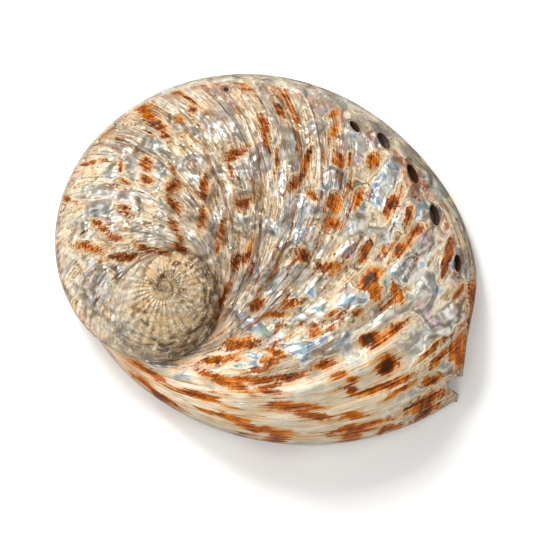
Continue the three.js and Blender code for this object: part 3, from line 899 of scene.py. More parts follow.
    def add_underside(self, rim: Array, lip_start: int) -> tuple[Array, Array]:
        """Add the rounded rim and the hollow, as rings drawn from the rim towards the middle.

        Args:
            rim: point numbers of the outside's edge, in order.
            lip_start: the first of them that is on the lip.

        Returns:
            Point numbers by ray and ring, and the roof's heights on its grid.
        """
        hollow = self.hollow
        roof = hollow.roof(self.dome)
        edge = np.concatenate(self.parts.points)[rim, :2]
        along = np.maximum(0, np.arange(len(rim)) - lip_start) / (len(rim) - lip_start)
        shelf = smoothstep(along, *hollow.shelf_ends) * (1 - smoothstep(along, *hollow.shelf_close))
        width = hollow.rim_width + hollow.shelf_width * shelf
        centre = np.array(hollow.centre)
        towards = centre - edge
        towards = towards / np.linalg.norm(towards, axis=1, keepdims=True)
        foot, turn = self.dome.wall.foot, hollow.rim_round
        bevel, rise = hollow.rim_bevel[0] * turn, hollow.rim_bevel[1] * foot
        rings = [rim]
        for inset, height in (
            (bevel, rise),
            (turn, 0.0),
            (width - turn, 0.0),
            (width - bevel, rise),
            (width, foot),
        ):
            x, y = (edge + towards * np.reshape(inset, (-1, 1))).T
            rings.append(self.parts.add_points(x, y, height))
        inner_x, inner_y = (edge + towards * width[:, None] - centre).T
        far = np.hypot(inner_x, inner_y)
        bearing = np.unwrap(np.arctan2(inner_y, inner_x))
        even = hollow.evened(bearing)
        for ring in range(1, hollow.rings):
            reach = far * (1 - (ring / hollow.rings) ** hollow.ease)
            ray = between(bearing, even, min(1.0, ring / hollow.even_rings))
            x, y = centre[0] + reach * np.cos(ray), centre[1] + reach * np.sin(ray)
            x, y = self.notched(x, y, hollow.wall)
            z = np.maximum(hollow.roof_at(roof, x, y), foot)
            rings.append(self.parts.add_points(x, y, z))
        peak = self.parts.add_points(*centre, hollow.roof_at(roof, *centre))
        rings.append(np.full_like(rim, peak))
        return np.stack(rings, -1), roof

    @staticmethod
    def block_edge(ids: Array, middle: tuple[int, int], half: tuple[int, int]) -> Array:
        """Point numbers round a block of a grid, turning the way its faces do."""
        i0, i1 = middle[0] - half[0], middle[0] + half[0]
        j0, j1 = middle[1] - half[1], middle[1] + half[1]
        return np.concatenate([ids[i0:i1, j0], ids[i1, j0:j1], ids[i1:i0:-1, j1], ids[i0, j1:j0:-1]])

    def nearest(self, ids: Array, x: float, y: float) -> tuple[int, int]:
        """Row and column of the grid point nearest to a plan place."""
        points = np.concatenate(self.parts.points)[ids]
        far = np.hypot(points[..., 0] - x, points[..., 1] - y)
        return np.unravel_index(np.argmin(far), far.shape)

    def drill(self, pore: Pore, outside: Array, inside: Array, roof: Array) -> tuple[Array, Array]:
        """Open one pore: rings that close in on an oval outside, a bore, and rings that open inside.

        Args:
            pore: the pore.
            outside: point numbers of the last lap's back and wall.
            inside: point numbers of the underside, by ray and ring.
            roof: heights of the hollow's roof on its grid.

        Returns:
            The middle row and column of the block that the pore takes out of each grid.
        """
        spiral = self.dome.spiral
        out = np.array([math.cos(pore.turn), -math.sin(pore.turn)])
        along = np.array([out[1], -out[0]])
        middle = np.array(spiral.plan(pore.turn, pore.radius))
        lean = 1 / math.hypot(1, self.dome.wall.slope)
        below = middle - out * self.hollow.wall * self.dome.wall.slope * lean
        places = np.concatenate(self.parts.points)
        block = self.nearest(outside, *middle)
        edge = self.block_edge(outside, block, self.patch)
        far_block = self.nearest(inside, *below)
        far_edge = self.block_edge(inside, far_block, self.patch)[::-1]

        def bearing(points: Array, centre: Array) -> Array:
            """Angle of plan places round a centre, measured on the oval."""
            step = points[:, :2] - centre
            return np.arctan2(step @ out / (pore.width * lean), step @ along / pore.length)

        angle = bearing(places[edge], middle)
        far_angle = bearing(places[far_edge], below)
        misfit = [np.cos(angle - np.roll(far_angle, -s)).sum() for s in range(len(edge))]
        far_edge = np.roll(far_edge, -int(np.argmax(misfit)))
        oval = (
            np.cos(angle)[:, None] * along * pore.length / 2
            + np.sin(angle)[:, None] * out * pore.width * lean / 2
        )
        columns = [edge]
        for ring in range(1, self.pore_rings + 1):
            share = ring / self.pore_rings
            x, y = between(places[edge, :2], middle + oval, share).T
            z, cut = self.dome.outside_height(self.dome.find(x, y), detailed=True)
            raised = self.pore_rim * math.sin(math.pi * share**2)
            # bore rises towards the oval's edge: first the dark line round the pore, then from the edge
            # in the bore's painted shade.
            stain = share**self.bore_ramp_power
            columns.append(self.add_outside_points(x, y, z + raised, cut, bore=stain))
        outer_end = np.concatenate(self.parts.points)[columns[-1]]
        far_oval = below + self.bore_taper * oval
        inner_end = np.column_stack([far_oval, self.hollow.roof_at(roof, *far_oval.T)])
        # The bore's points get bore 1: brown wall darkened with painted shade.
        for ring in range(1, self.bore_rings + 1):
            x, y, z = between(outer_end, inner_end, ring / self.bore_rings).T
            columns.append(self.parts.add_points(x, y, z, bore=1.0))
        for ring in range(1, self.bore_rings):
            x, y = between(far_oval, places[far_edge, :2], ring / self.bore_rings).T
            columns.append(self.parts.add_points(x, y, self.hollow.roof_at(roof, x, y)))
        columns.append(far_edge)
        grid = np.stack(columns, -1)
        grid = np.concatenate([grid, grid[:1]])
        spots = self.dome.find(*middle)
        corners = np.broadcast_to([float(spots.growth), float(spots.across)], (*grid.shape, 2))
        front = self.pore_rings + self.bore_rings
        self.parts.add_grid(grid[:, : front + 1], corners[:, : front + 1], Slot.BACK)
        self.parts.add_grid(grid[:, front:], corners[:, front:], Slot.PEARL)
        return block, far_block

    def build(self, finishes: list[bpy.types.Material]) -> bpy.types.Object:
        """Work out the whole mesh and dress it.

        Args:
            finishes: materials in the order of Slot.

        Returns:
            The shell's object.
        """
        bands, band_places, heights = self.add_bands()
        walls, wall_places = self.add_walls(bands, heights)
        last = len(bands) - 1
        for lap in range(last):
            for ids, places in ((bands, band_places), (walls, wall_places)):
                self.parts.add_grid(ids[lap], places[lap], Slot.BACK)
                ends = (places[lap][-1], places[lap + 1][0])
                self.parts.add_stitch(ids[lap][-1], ids[lap + 1][0], ends, Slot.BACK)
        self.add_nucleus(bands[0], walls[0], bands[1], band_places[0][0, 0])
        outside = np.concatenate([bands[last], walls[last][:, 1:]], axis=1)
        places = np.concatenate([band_places[last], wall_places[last][:, 1:]], axis=1)
        rim = np.concatenate([walls[last][:, -1], bands[last][-1, -2:0:-1]])
        inside, roof = self.add_underside(rim, self.rows + 1)
        keep_out = np.ones(np.array(outside.shape) - 1, bool)
        keep_in = np.ones((len(inside), inside.shape[1] - 1), bool)
        for pore in OPEN_PORES:
            blocks = self.drill(pore, outside, inside, roof)
            for keep, (row, column) in zip((keep_out, keep_in), blocks):
                rows = slice(row - self.patch[0], row + self.patch[0])
                keep[rows, column - self.patch[1] : column + self.patch[1]] = False
        self.parts.add_grid(outside, places, Slot.BACK, keep_out)
        closed = np.concatenate([inside, inside[:1]])
        self.parts.add_grid(closed, np.zeros((*closed.shape, 2)), Slot.PEARL, keep_in)
        piece = self.parts.build("abalone_shell", finishes)
        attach(piece, BODY)
        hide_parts(NODE)
        return piece


def linear(code: str) -> tuple[float, float, float, float]:
    """Linear colour of a screen colour such as #C08040, by the sRGB curve."""
    parts = [int(code[k : k + 2], 16) / 255 for k in (1, 3, 5)]
    curve = [p / 12.92 if p <= 0.04045 else ((p + 0.055) / 1.055) ** 2.4 for p in parts]
    return (*curve, 1.0)


class Value:
    """A number's socket that can be used in Python arithmetic, which adds Math nodes."""

    NOISE_MIDDLE = 0.5

    def __init__(self, sheet: "NodeSheet", socket: Socket) -> None:
        """Wrap an output socket of a sheet."""
        self.sheet = sheet
        self.socket = socket

    def math(self, operation: str, *terms: "Value | float") -> "Value":
        """The result of a Math node on the given terms."""
        inputs = dict(enumerate(terms))
        return self.sheet.value("ShaderNodeMath", {"operation": operation}, inputs)

    def __add__(self, other: "Value | float") -> "Value":
        """Sum."""
        return self.math("ADD", self, other)

    __radd__ = __add__

    def __mul__(self, other: "Value | float") -> "Value":
        """Product."""
        return self.math("MULTIPLY", self, other)

    __rmul__ = __mul__

    def __sub__(self, other: "Value | float") -> "Value":
        """Difference."""
        return self.math("SUBTRACT", self, other)

    def __rsub__(self, other: "Value | float") -> "Value":
        """Difference from a number."""
        return self.math("SUBTRACT", other, self)

    def __abs__(self) -> "Value":
        """Size without sign."""
        return self.math("ABSOLUTE", self)

    def larger(self, other: "Value | float") -> "Value":
        """The larger of two."""
        return self.math("MAXIMUM", self, other)

    def sine(self) -> "Value":
        """Sine."""
        return self.math("SINE", self)

    def smooth(self, low: float, high: float) -> "Value":
        """Ease from 0 at low to 1 at high."""
        settings = {"interpolation_type": "SMOOTHSTEP"}
        return self.sheet.value("ShaderNodeMapRange", settings, {0: self, 1: low, 2: high})

    def line(self, at: float, width: float) -> "Value":
        """1 on a line where this is at a value, fading to 0 over a width on both sides."""
        return 1 - abs(self - at).smooth(0.0, width)

    def swing(self, strength: "Value | float") -> "Value":
        """A noise about its middle, times a strength."""
        return (self - self.NOISE_MIDDLE) * strength

    def spare(self, share: float) -> "Value":
        """What is left of 1 when a share of this is taken from it."""
        return 1 - self * share

    def raised(self, least: float) -> "Value":
        """The same rise to 1, from a least value instead of 0."""
        return self * (1 - least) + least


class NodeSheet:
    """One material's nodes."""

    def __init__(self, name: str) -> None:
        """Start a material without any nodes."""
        self.material = bpy.data.materials.new(name)
        self.material.use_nodes = True
        self.tree = self.material.node_tree
        self.tree.nodes.clear()

    def node(
        self, kind: str, settings: dict | None = None, inputs: dict | None = None
    ) -> bpy.types.Node:
        """Add a node.

        Args:
            kind: node type.
            settings: properties to set first; stops are a ramp's places and colours.
            inputs: socket values or links, by socket name or number.

        Returns:
            The node.
        """
        made = self.tree.nodes.new(kind)
        for key, setting in (settings or {}).items():
            if key == "stops":
                ramp = made.color_ramp
                while len(ramp.elements) < len(setting):
                    ramp.elements.new(1.0)
                for element, (place, colour) in zip(ramp.elements, setting):
                    element.position = place
                    element.color = colour
            else:
                setattr(made, key, setting)
        for key, given in (inputs or {}).items():
            self.feed(made.inputs[key], given)
        return made

    def feed(self, socket: Socket, given: object) -> None:
        """Link a socket to a value or another socket, or set it."""
        source = given.socket if isinstance(given, Value) else given
        if isinstance(source, Socket):
            self.tree.links.new(source, socket)
        else:
            socket.default_value = source

    def value(self, kind: str, settings: dict | None = None, inputs: dict | None = None) -> Value:
        """Add a node and take its first output as a value."""
        return Value(self, self.node(kind, settings, inputs).outputs[0])

    def attribute(self, name: str) -> Value:
        """A value stored on the mesh's points."""
        made = self.node("ShaderNodeAttribute", {"attribute_name": name})
        return Value(self, made.outputs["Fac"])

    def place(self) -> Socket:
        """The surface's own place, in metres."""
        return self.node("ShaderNodeTexCoord").outputs["Object"]

    def parts(self, vector: Socket) -> tuple[Value, Value, Value]:
        """The three values of a vector."""
        split = self.node("ShaderNodeSeparateXYZ", None, {0: vector})
        return tuple(Value(self, output) for output in split.outputs)

    def growth_lines(self) -> tuple[Value, Value]:
        """Growth and across of the surface, from its map."""
        uv = self.node("ShaderNodeUVMap", {"uv_map": LINES_UV}).outputs[0]
        return self.parts(uv)[:2]

    def vector(self, *parts: Value | float) -> Socket:
        """A vector of up to three values."""
        return self.node("ShaderNodeCombineXYZ", None, dict(enumerate(parts))).outputs[0]

    def noise(
        self, place: Socket, scale: float = 1.0, detail: float = 2.0, bend: float = 0.0
    ) -> Value:
        """Noise from 0 to 1 over a place."""
        inputs = {"Vector": place, "Scale": scale, "Detail": detail, "Distortion": bend}
        return self.value("ShaderNodeTexNoise", None, inputs)

    def ramp(self, share: Value, stops: Stops) -> Socket:
        """A colour that changes along a value."""
        settings = {"stops": [(place, linear(code)) for place, code in stops]}
        return self.node("ShaderNodeValToRGB", settings, {0: share}).outputs[0]

    def mix(self, share: Value, under: Socket, over: Socket | str) -> Socket:
        """A share of one colour over another, which is a socket or a screen colour."""
        over = linear(over) if isinstance(over, str) else over
        # The node has sockets for numbers, vectors and colours: 6, 7 and output 2 are the colours.
        inputs = {0: share, 6: under, 7: over}
        return self.node("ShaderNodeMix", {"data_type": "RGBA"}, inputs).outputs[2]

    def layer(self, colour: Socket, *layers: tuple[Value, Socket | str]) -> Socket:
        """Lay shares of other colours over a colour, one after another."""
        for share, over in layers:
            colour = self.mix(share, colour, over)
        return colour

    def finish(
        self, inputs: dict, height: Value | None = None, depth: float = 0.0
    ) -> bpy.types.Material:
        """Add the surface shader, with a bump if a height is given, and return the material."""
        shader = self.node("ShaderNodeBsdfPrincipled", None, inputs)
        if height is not None:
            bump = self.node("ShaderNodeBump", None, {"Height": height, "Distance": depth})
            self.tree.links.new(bump.outputs[0], shader.inputs["Normal"])
        output = self.node("ShaderNodeOutputMaterial")
        self.tree.links.new(shader.outputs[0], output.inputs[0])
        return self.material


class BackPatterns:
    """Values over the back that its finish is made of, mostly from 0 to 1."""

    BODY_ENDS: Ends = (deg(430), deg(520))
    FREE_ENDS: Ends = (deg(500), deg(512))
    YOUNG_ENDS: Ends = (deg(640), deg(690))
    LIP_ENDS: Ends = (deg(704), deg(724))
    LIP_OUTER_ENDS: Ends = (0.8, 0.95)
    WALL_ENDS: Ends = (1.0, 1.06)
    SHOULDER_LINE: Line = (1.01, 0.05)

    def __init__(self, sheet: NodeSheet) -> None:
        """Read the mesh's own values and lay noises over them."""
        self.sheet = sheet
        self.place = sheet.place()
        self.growth, self.across = sheet.growth_lines()
        self.cut, self.rust, self.bore = (sheet.attribute(name) for name in MeshParts.VALUES)
        self.lines = self.streaks(growth=34.0, across=4.0, detail=4.0, bend=0.4)
        self.strata = self.streaks(growth=70.0, across=6.0, detail=5.0, bend=0.5, seed=4.0)
        self.fine_lines = self.streaks(growth=110.0, across=7.0)
        self.cords = self.streaks(growth=9.0, across=90.0, bend=0.3)
        self.blots = self.streaks(growth=15.0, across=8.0, detail=3.0, bend=0.4, seed=2.0)
        self.flames = self.streaks(growth=22.0, across=5.0, bend=0.5, seed=7.0)
        self.folds = self.streaks(growth=9.0, across=2.2, bend=0.6, seed=5.0)
        self.layers = self.streaks(growth=4.0, across=22.0, detail=4.0, bend=0.3)
        self.flecks = self.streaks(growth=26.0, across=9.0)
        self.lumps = self.clouds(130.0, detail=1.0, bend=0.4)
        self.mottle = self.clouds(190.0, detail=4.0, bend=0.6)
        self.tint = self.clouds(75.0, bend=0.8)
        self.shimmer = self.clouds(300.0, detail=1.0)
        self.grain = self.clouds(900.0, detail=3.0, bend=1.0)
        self.beads = self.clouds(540.0, detail=2.0, bend=0.3)
        free = self.growth.smooth(*self.FREE_ENDS)
        self.spire = 1 - self.growth.smooth(*self.BODY_ENDS)
        self.body = 1 - self.spire
        self.older = 1 - self.growth.smooth(*self.YOUNG_ENDS)
        self.lip = self.growth.smooth(*self.LIP_ENDS)
        self.lip = self.lip * (1 - self.across.smooth(*self.LIP_OUTER_ENDS))
        self.wall = self.across.smooth(*self.WALL_ENDS) * free
        self.shoulder = self.across.line(*self.SHOULDER_LINE) * free

    def streaks(
        self, growth: float, across: float, detail: float = 2.0, bend: float = 0.0, seed: float = 0.0
    ) -> Value:
        """Noise drawn out along or over the growth lines, by its fineness in both ways."""
        place = self.sheet.vector(self.growth * growth, self.across * across, seed)
        return self.sheet.noise(place, detail=detail, bend=bend)

    def clouds(self, scale: float, detail: float = 2.0, bend: float = 0.0) -> Value:
        """Noise alike in all ways, by its fineness for each metre."""
        return self.sheet.noise(self.place, scale, detail, bend)


class Tint(str, Enum):
    """Screen colours of the shell's back."""

    WHITE = "#F0E6D1"
    LIP_WHITE = "#E4D9C0"
    CREAM = "#DDCDAC"
    WARM = "#BB9C6A"
    # Olive of the painted shade in the hollows and along the ground layers' edges.
    OLIVE = "#6C562C"
    BROWN = "#7C400F"
    LINE = "#643C12"
    PEARL_PALE = "#EDEADF"
    PEARL_GREY = "#C6C4B9"
    PEARL_OLIVE = "#A8A189"
    PEARL_BLUE = "#9DB7D0"
    PEARL_GREEN = "#A0C2B2"
    PEARL_PINK = "#DABABA"
    FRINGE = "#D3943A"
    ORANGE = "#DC8000"
    RUST = "#AC5200"
    RUST_CORE = "#4C2002"
    # Near-white of the spire's painted glints.
    PAINTED_GLINT = "#FFFAEC"
    TAN_GOLD = "#F6CF86"
    TAN = "#F0CF9C"
    TAN_BROWN = "#A67C48"
    TAN_DARK = "#54412B"
    SIDE_PALE = "#E4DDCD"
    SIDE = "#CABE9F"
    # Dark brown of the bores: the tunnels' brown wall with painted shade.
    BORE_SHADE = "#3E220A"


@dataclass(frozen=True)
class Grinding:
    """How far polishing has ground the back: where pearl shows, and the edges of the layers with the
    olive painted shade along them.
    """

    cut: float = 0.35
    lumps: float = 3.0
    mottle: float = 1.1
    mottle_older: float = 0.3
    level: float = 0.34
    older: float = 0.03
    mark: float = 0.7
    mark_ends: Ends = (0.1, 0.5)
    suture: float = 0.35
    suture_ends: Ends = (0.08, 0.4)

    through_ends: Ends = (-0.1, 0.4)
    lip_kept: float = 0.85
    mark_kept: float = 0.9
    fleck: float = 0.8
    fleck_ends: Ends = (0.6, 0.66)
    shoulder_kept: float = 0.7
    shoulder_ends: Ends = (0.84, 0.98)

    edge_line: Line = (-0.25, 0.2)
    edge_break_ends: Ends = (0.4, 0.6)
    edge_suture_ends: Ends = (0.15, 0.5)
    edge_older: float = 0.2

    def depth(self, seen: BackPatterns) -> Value:
        """How deep the polish goes: pearl above 0, hollows that it has not reached far below."""
        marked = seen.rust.smooth(*self.mark_ends)
        at_suture = 1 - seen.across.smooth(*self.suture_ends)
        return (
            seen.cut * self.cut
            + seen.lumps.swing(self.lumps)
            + seen.mottle.swing(self.mottle - seen.older * self.mottle_older)
            - marked * self.mark
            + self.level
            - seen.older * self.older
            - at_suture * self.suture
        )

    def pearl_share(self, seen: BackPatterns, depth: Value) -> Value:
        """Where pearl shows: hardly in marks or at the old shoulder, and as flecks at the lip."""
        marked = seen.rust.smooth(*self.mark_ends)
        flecks = seen.flecks.smooth(*self.fleck_ends) * seen.lip * self.fleck
        shown = depth.smooth(*self.through_ends) * seen.lip.spare(self.lip_kept)
        shown = shown.larger(flecks) * marked.spare(self.mark_kept)
        old_shoulder = seen.across.smooth(*self.shoulder_ends) * seen.older
        return shown * old_shoulder.spare(self.shoulder_kept)

    def layer_edges_and_shade(self, seen: BackPatterns, depth: Value) -> Value:
        """Broken olive lines round the ground places, where the layers' edges lie open: partly their
        edge colour, partly painted shade.
        """
        edges = depth.line(*self.edge_line) * (1 - seen.lip) * seen.body
        edges = edges * seen.mottle.smooth(*self.edge_break_ends)
        return edges * seen.across.smooth(*self.edge_suture_ends) * seen.older.spare(self.edge_older)


@dataclass(frozen=True)
class CreamLayers:
    """The layers that polishing has left: cream with brown growth lines, olive painted shade in the
    hollows.
    """

    stops: Stops = ((0.32, Tint.LINE), (0.41, Tint.WARM), (0.52, Tint.CREAM), (0.64, Tint.WHITE))
    tone: float = 0.57
    lines: float = 0.4
    lines_older: float = 0.4
    grain: float = 0.8
    grain_lip: float = 0.5
    mottle: float = 0.3
    suture_least: float = 0.25
    suture_ends: Ends = (0.12, 0.5)
    lip: float = 0.5
    hollow: float = 0.5
    hollow_shade_ends: Ends = (-1.0, -0.1)
    hollow_shade_lip: float = 0.8
    hollow_shade_suture_ends: Ends = (0.15, 0.5)
    thin_ends: Ends = (0.62, 0.7)
    thin_lip: float = 0.6

    def colour(self, seen: BackPatterns, depth: Value) -> Socket:
        """The layers' colour at a depth of polish."""
        lined = self.lines + seen.older * self.lines_older
        outer = seen.across.smooth(*self.suture_ends).raised(self.suture_least)
        tone = (
            seen.strata.swing(lined) * outer
            + self.tone
            + seen.grain.swing(self.grain - seen.lip * self.grain_lip) * outer
            + seen.mottle.swing(self.mottle)
        )
        # Painted shade: olive where the polish left the surface low, less on the lip and near the
        # suture.
        hollow = (1 - depth.smooth(*self.hollow_shade_ends)) * seen.lip.spare(self.hollow_shade_lip)
        hollow = hollow * seen.across.smooth(*self.hollow_shade_suture_ends)
        thin = seen.fine_lines.smooth(*self.thin_ends) * seen.lip.spare(self.thin_lip)
        return seen.sheet.layer(
            seen.sheet.ramp(tone, self.stops),
            (seen.lip * self.lip, Tint.LIP_WHITE),
            (hollow * self.hollow, Tint.OLIVE),
            (thin * lined * outer, Tint.BROWN),
        )


@dataclass(frozen=True)
class PearlLayer:
    """Mother-of-pearl in the back: its tint drifts, it is silver on the older part, with streaks."""

    stops: Stops = (
        (0.3, Tint.PEARL_GREEN),
        (0.39, Tint.PEARL_BLUE),
        (0.46, Tint.PEARL_PALE),
        (0.52, Tint.PEARL_GREY),
        (0.58, Tint.PEARL_OLIVE),
        (0.64, Tint.PEARL_PINK),
        (0.72, Tint.PEARL_BLUE),
    )
    older_stops: Stops = (
        (0.35, Tint.PEARL_OLIVE),
        (0.5, Tint.PEARL_GREY),
        (0.62, Tint.PEARL_PALE),
    )
    shimmer: float = 0.25
    older: float = 0.75
    streak: float = 0.35
    streak_older: float = 0.25
    streak_ends: Ends = (0.54, 0.7)

    def colour(self, seen: BackPatterns) -> Socket:
        """The pearl's colour."""
        sheet = seen.sheet
        streaks = seen.strata.smooth(*self.streak_ends) * (self.streak - seen.older * self.streak_older)
        return sheet.layer(
            sheet.ramp(seen.tint + seen.shimmer.swing(self.shimmer), self.stops),
            (seen.older * self.older, sheet.ramp(seen.shimmer, self.older_stops)),
            (streaks, Tint.WHITE),
        )


@dataclass(frozen=True)
class RustMarks:
    """Rust-orange marks, flames along the lip, the stained suture and the haze round them all."""

    stops: Stops = ((0.4, Tint.FRINGE), (0.5, Tint.ORANGE), (0.64, Tint.RUST), (0.84, Tint.RUST_CORE))
    tone_mark: float = 0.4
    tone_weave: float = 0.9
    tone_mottle: float = 0.4
    tone_drift: float = 0.35
    tone_lip: float = 0.03
    blot: float = 2.2
    blot_level: float = 0.85
    flame: float = 3.0
    flame_level: float = 1.27
    wall_fade: float = 0.6
    wall_fade_ends: Ends = (deg(690), deg(702))
    suture: float = 0.85
    suture_ends: Ends = (0.03, 0.16)
    suture_break_ends: Ends = (0.5, 0.6)
    line_weave: float = 0.9
    cord_weave: float = 0.7
    grain_weave: float = 0.9
    lip_smooth: float = 0.7
    edge_weave: float = 0.8
    edge_lip: float = 0.08
    edge_older: float = 0.09
    stain_ends: Ends = (0.46, 0.58)
    spire_fade: float = 0.6
    haze: float = 0.5
    haze_lip: float = 0.3
    haze_ends: Ends = (0.05, 0.5)
    haze_line_ends: Ends = (0.42, 0.58)

    def marked(self, seen: BackPatterns) -> Value:
        """How strongly a place is marked: the mesh's own marks, loose blots and flames."""
        blot = seen.blots * self.blot - self.blot_level - seen.lip
        flame = (seen.flames * self.flame - self.flame_level) * seen.lip
        old_wall = seen.wall * (1 - seen.growth.smooth(*self.wall_fade_ends))
        return seen.rust.larger(blot).larger(flame) * old_wall.spare(self.wall_fade)

    def suture_stain(self, seen: BackPatterns) -> Value:
        """Broken stain along the suture."""
        near = 1 - seen.across.smooth(*self.suture_ends)
        return near * seen.lines.smooth(*self.suture_break_ends) * seen.body * self.suture

    def stained(self, seen: BackPatterns, colour: Socket) -> tuple[Socket, Value]:
        """Lay the marks over a colour.

        Args:
            seen: the back's patterns.
            colour: what is below the marks.

        Returns:
            The colour with its marks, and where they are.
        """
        marked = self.marked(seen)
        rough = seen.cords.swing(self.cord_weave) + seen.grain.swing(self.grain_weave)
        weave = seen.fine_lines.swing(self.line_weave) + rough * seen.lip.spare(self.lip_smooth)
        edge = weave * self.edge_weave - seen.lip * self.edge_lip - seen.older * self.edge_older
        stain = (marked + edge).smooth(*self.stain_ends) * seen.spire.spare(self.spire_fade)
        stain = stain.larger(self.suture_stain(seen))
        haze = marked.smooth(*self.haze_ends) * seen.strata.smooth(*self.haze_line_ends) * seen.body
        tone = (
            marked * self.tone_mark
            + weave * self.tone_weave
            + seen.mottle * self.tone_mottle
            + seen.tint * self.tone_drift
            - seen.lip * self.tone_lip
        )
        colour = seen.sheet.layer(
            colour,
            (haze * (self.haze + seen.lip * self.haze_lip), Tint.FRINGE),
            (stain, seen.sheet.ramp(tone, self.stops)),
        )
        return colour, stain


@dataclass(frozen=True)
class Creases:
    """Where growth has paused: broken, wavering lines along a few growth lines."""

    turns: tuple[float, ...] = tuple(map(deg, (604, 623, 640, 643.5, 659, 667, 673)))
    width: float = 0.018
    waver: float = 0.16
    waver_scale: float = 7.0
    waver_seed: float = 3.0
    waver_detail: float = 4.0
    line_waver: float = 0.12
    bundle: float = 0.8
    bundle_levels: tuple[float, ...] = (0.46, 0.57)
    bundle_width: float = 0.022
    bundle_start_ends: Ends = (deg(585), deg(610))
    bundle_stop_ends: Ends = (deg(672), deg(684))
    shoulder_ends: Ends = (0.97, 1.0)
    break_ends: Ends = (0.3, 0.42)

    def lines(self, seen: BackPatterns) -> Value:
        """1 on the creases, 0 away from them."""
        wave_place = seen.sheet.vector(seen.across * self.waver_scale, self.waver_seed)
        waver = seen.sheet.noise(wave_place, detail=self.waver_detail)
        bent = seen.growth + waver.swing(self.waver) + seen.lines.swing(self.line_waver)
        creases = reduce(Value.larger, [bent.line(turn, self.width) for turn in self.turns])
        bundle = reduce(
            Value.larger, [seen.lines.line(level, self.bundle_width) for level in self.bundle_levels]
        )
        started = seen.growth.smooth(*self.bundle_start_ends)
        stopped = seen.growth.smooth(*self.bundle_stop_ends)
        creases = creases.larger(bundle * (started * (1 - stopped)) * self.bundle)
        creases = creases * (1 - seen.across.smooth(*self.shoulder_ends))
        return creases * seen.mottle.smooth(*self.break_ends)


@dataclass(frozen=True)
class SpireFinish:
    """The spire: tan beads in ribs, a dark worn rim, darker down towards the foot of its wall, and a
    curl with pits at its tip.

    The apex and the curl's ends are in metres, like the surface's own place.
    """

    apex: tuple[float, float, float] = (Spiral.apex[0] * MM, Spiral.apex[1] * MM, 0.038)
    ribs: float = Relief.ribs
    rib_waver: float = 5.0
    curl_pitch: float = 4.0
    curl_phase: float = 0.81
    curl_start_ends: Ends = (0.0004, 0.0014)
    curl_stop_ends: Ends = (0.0045, 0.0068)
    stops: Stops = (
        (0.39, Tint.TAN_BROWN),
        (0.46, Tint.TAN),
        (0.55, Tint.TAN),
        (0.62, Tint.CREAM),
    )
    tone_beads: float = 0.4
    tone_mottle: float = 0.6
    tone_rib: float = 0.02
    worn_ends: Ends = (0.7, 0.95)
    worn_turn_ends: Ends = (deg(280), deg(340))
    worn_waver: float = 0.5
    worn_mottle: float = 0.3
    worn_least: float = 0.5
    worn_layer_ends: Ends = (0.4, 0.6)
    foot: float = 0.85
    foot_ends: Ends = (1.4, 1.9)
    blot: float = 0.8
    blot_ends: Ends = (0.64, 0.7)
    crest: float = 0.8
    crest_ends: Ends = (0.3, 0.9)
    groove: float = 0.7
    groove_ends: Ends = (0.4, 0.9)
    pit: float = 0.85
    pit_ends: Ends = (0.45, 0.75)
    speck: float = 0.4
    speck_ends: Ends = (0.38, 0.46)
    # Painted glints: near-white specks on the ribs, in patches, fewer on the worn rim.
    painted_glint_ends: Ends = (0.52, 0.56)
    painted_glint_patch_ends: Ends = (0.44, 0.54)
    painted_glint_rib_ends: Ends = (-0.2, 0.6)
    painted_glint_least: float = 0.3
    painted_glint_worn: float = 0.7

    def round_apex(self, seen: BackPatterns) -> tuple[Value, Value]:
        """Distance from the apex in metres and angle round it."""
        far = seen.sheet.node(
            "ShaderNodeVectorMath", {"operation": "DISTANCE"}, {0: seen.place, 1: self.apex}
        )
        x, y = (part - mid for part, mid in zip(seen.sheet.parts(seen.place)[:2], self.apex))
        return Value(seen.sheet, far.outputs["Value"]), y.math("ARCTAN2", y, x)

    def rib(self, seen: BackPatterns) -> Value:
        """The uneven ribs: a sine of the angle round the apex."""
        return (seen.mottle.swing(self.rib_waver) - self.round_apex(seen)[1] * self.ribs).sine()

    def curl(self, seen: BackPatterns) -> Value:
        """The first whorl's cord round the apex: 1 on its crest, -1 in its groove, 0 further out."""
        far, angle = self.round_apex(seen)
        wave = angle + far.math("LOGARITHM", far, math.e) * self.curl_pitch + self.curl_phase
        started = far.smooth(*self.curl_start_ends)
        return wave.sine() * started * (1 - far.smooth(*self.curl_stop_ends))

    def worn(self, seen: BackPatterns) -> Value:
        """The dark worn rim at the spire's shoulder."""
        waver = seen.across + seen.layers.swing(self.worn_waver) + seen.mottle.swing(self.worn_mottle)
        layers = seen.layers.smooth(*self.worn_layer_ends).raised(self.worn_least)
        return waver.smooth(*self.worn_ends) * seen.growth.smooth(*self.worn_turn_ends) * layers

    def colour(self, seen: BackPatterns, rib: Value, curl: Value) -> Socket:
        """The spire's colour, from the dark below to the painted glints on top."""
        tone = seen.beads * self.tone_beads + seen.mottle * self.tone_mottle + rib * self.tone_rib
        worn = self.worn(seen)
        # Painted glints: near-white specks on the ribs, in patches, fewer on the worn rim.
        painted_glint = seen.grain.smooth(*self.painted_glint_ends)
        painted_glint = painted_glint * seen.tint.larger(seen.shimmer).smooth(*self.painted_glint_patch_ends)
        on_rib = rib.smooth(*self.painted_glint_rib_ends).raised(self.painted_glint_least)
        return seen.sheet.layer(
            seen.sheet.ramp(tone, self.stops),
            (worn, Tint.TAN_DARK),
            # Darker down towards the foot of the wall, into the suture.
            (seen.across.smooth(*self.foot_ends) * self.foot, Tint.TAN_DARK),
            (seen.mottle.smooth(*self.blot_ends) * self.blot, Tint.TAN_DARK),
            (curl.smooth(*self.crest_ends) * self.crest, Tint.TAN_GOLD),
            ((0 - curl).smooth(*self.groove_ends) * self.groove, Tint.TAN_BROWN),
            (seen.rust.smooth(*self.pit_ends) * self.pit, Tint.BROWN),
            ((1 - seen.grain.smooth(*self.speck_ends)) * self.speck, Tint.TAN_BROWN),
            (painted_glint * on_rib * worn.spare(self.painted_glint_worn), Tint.PAINTED_GLINT),
        )


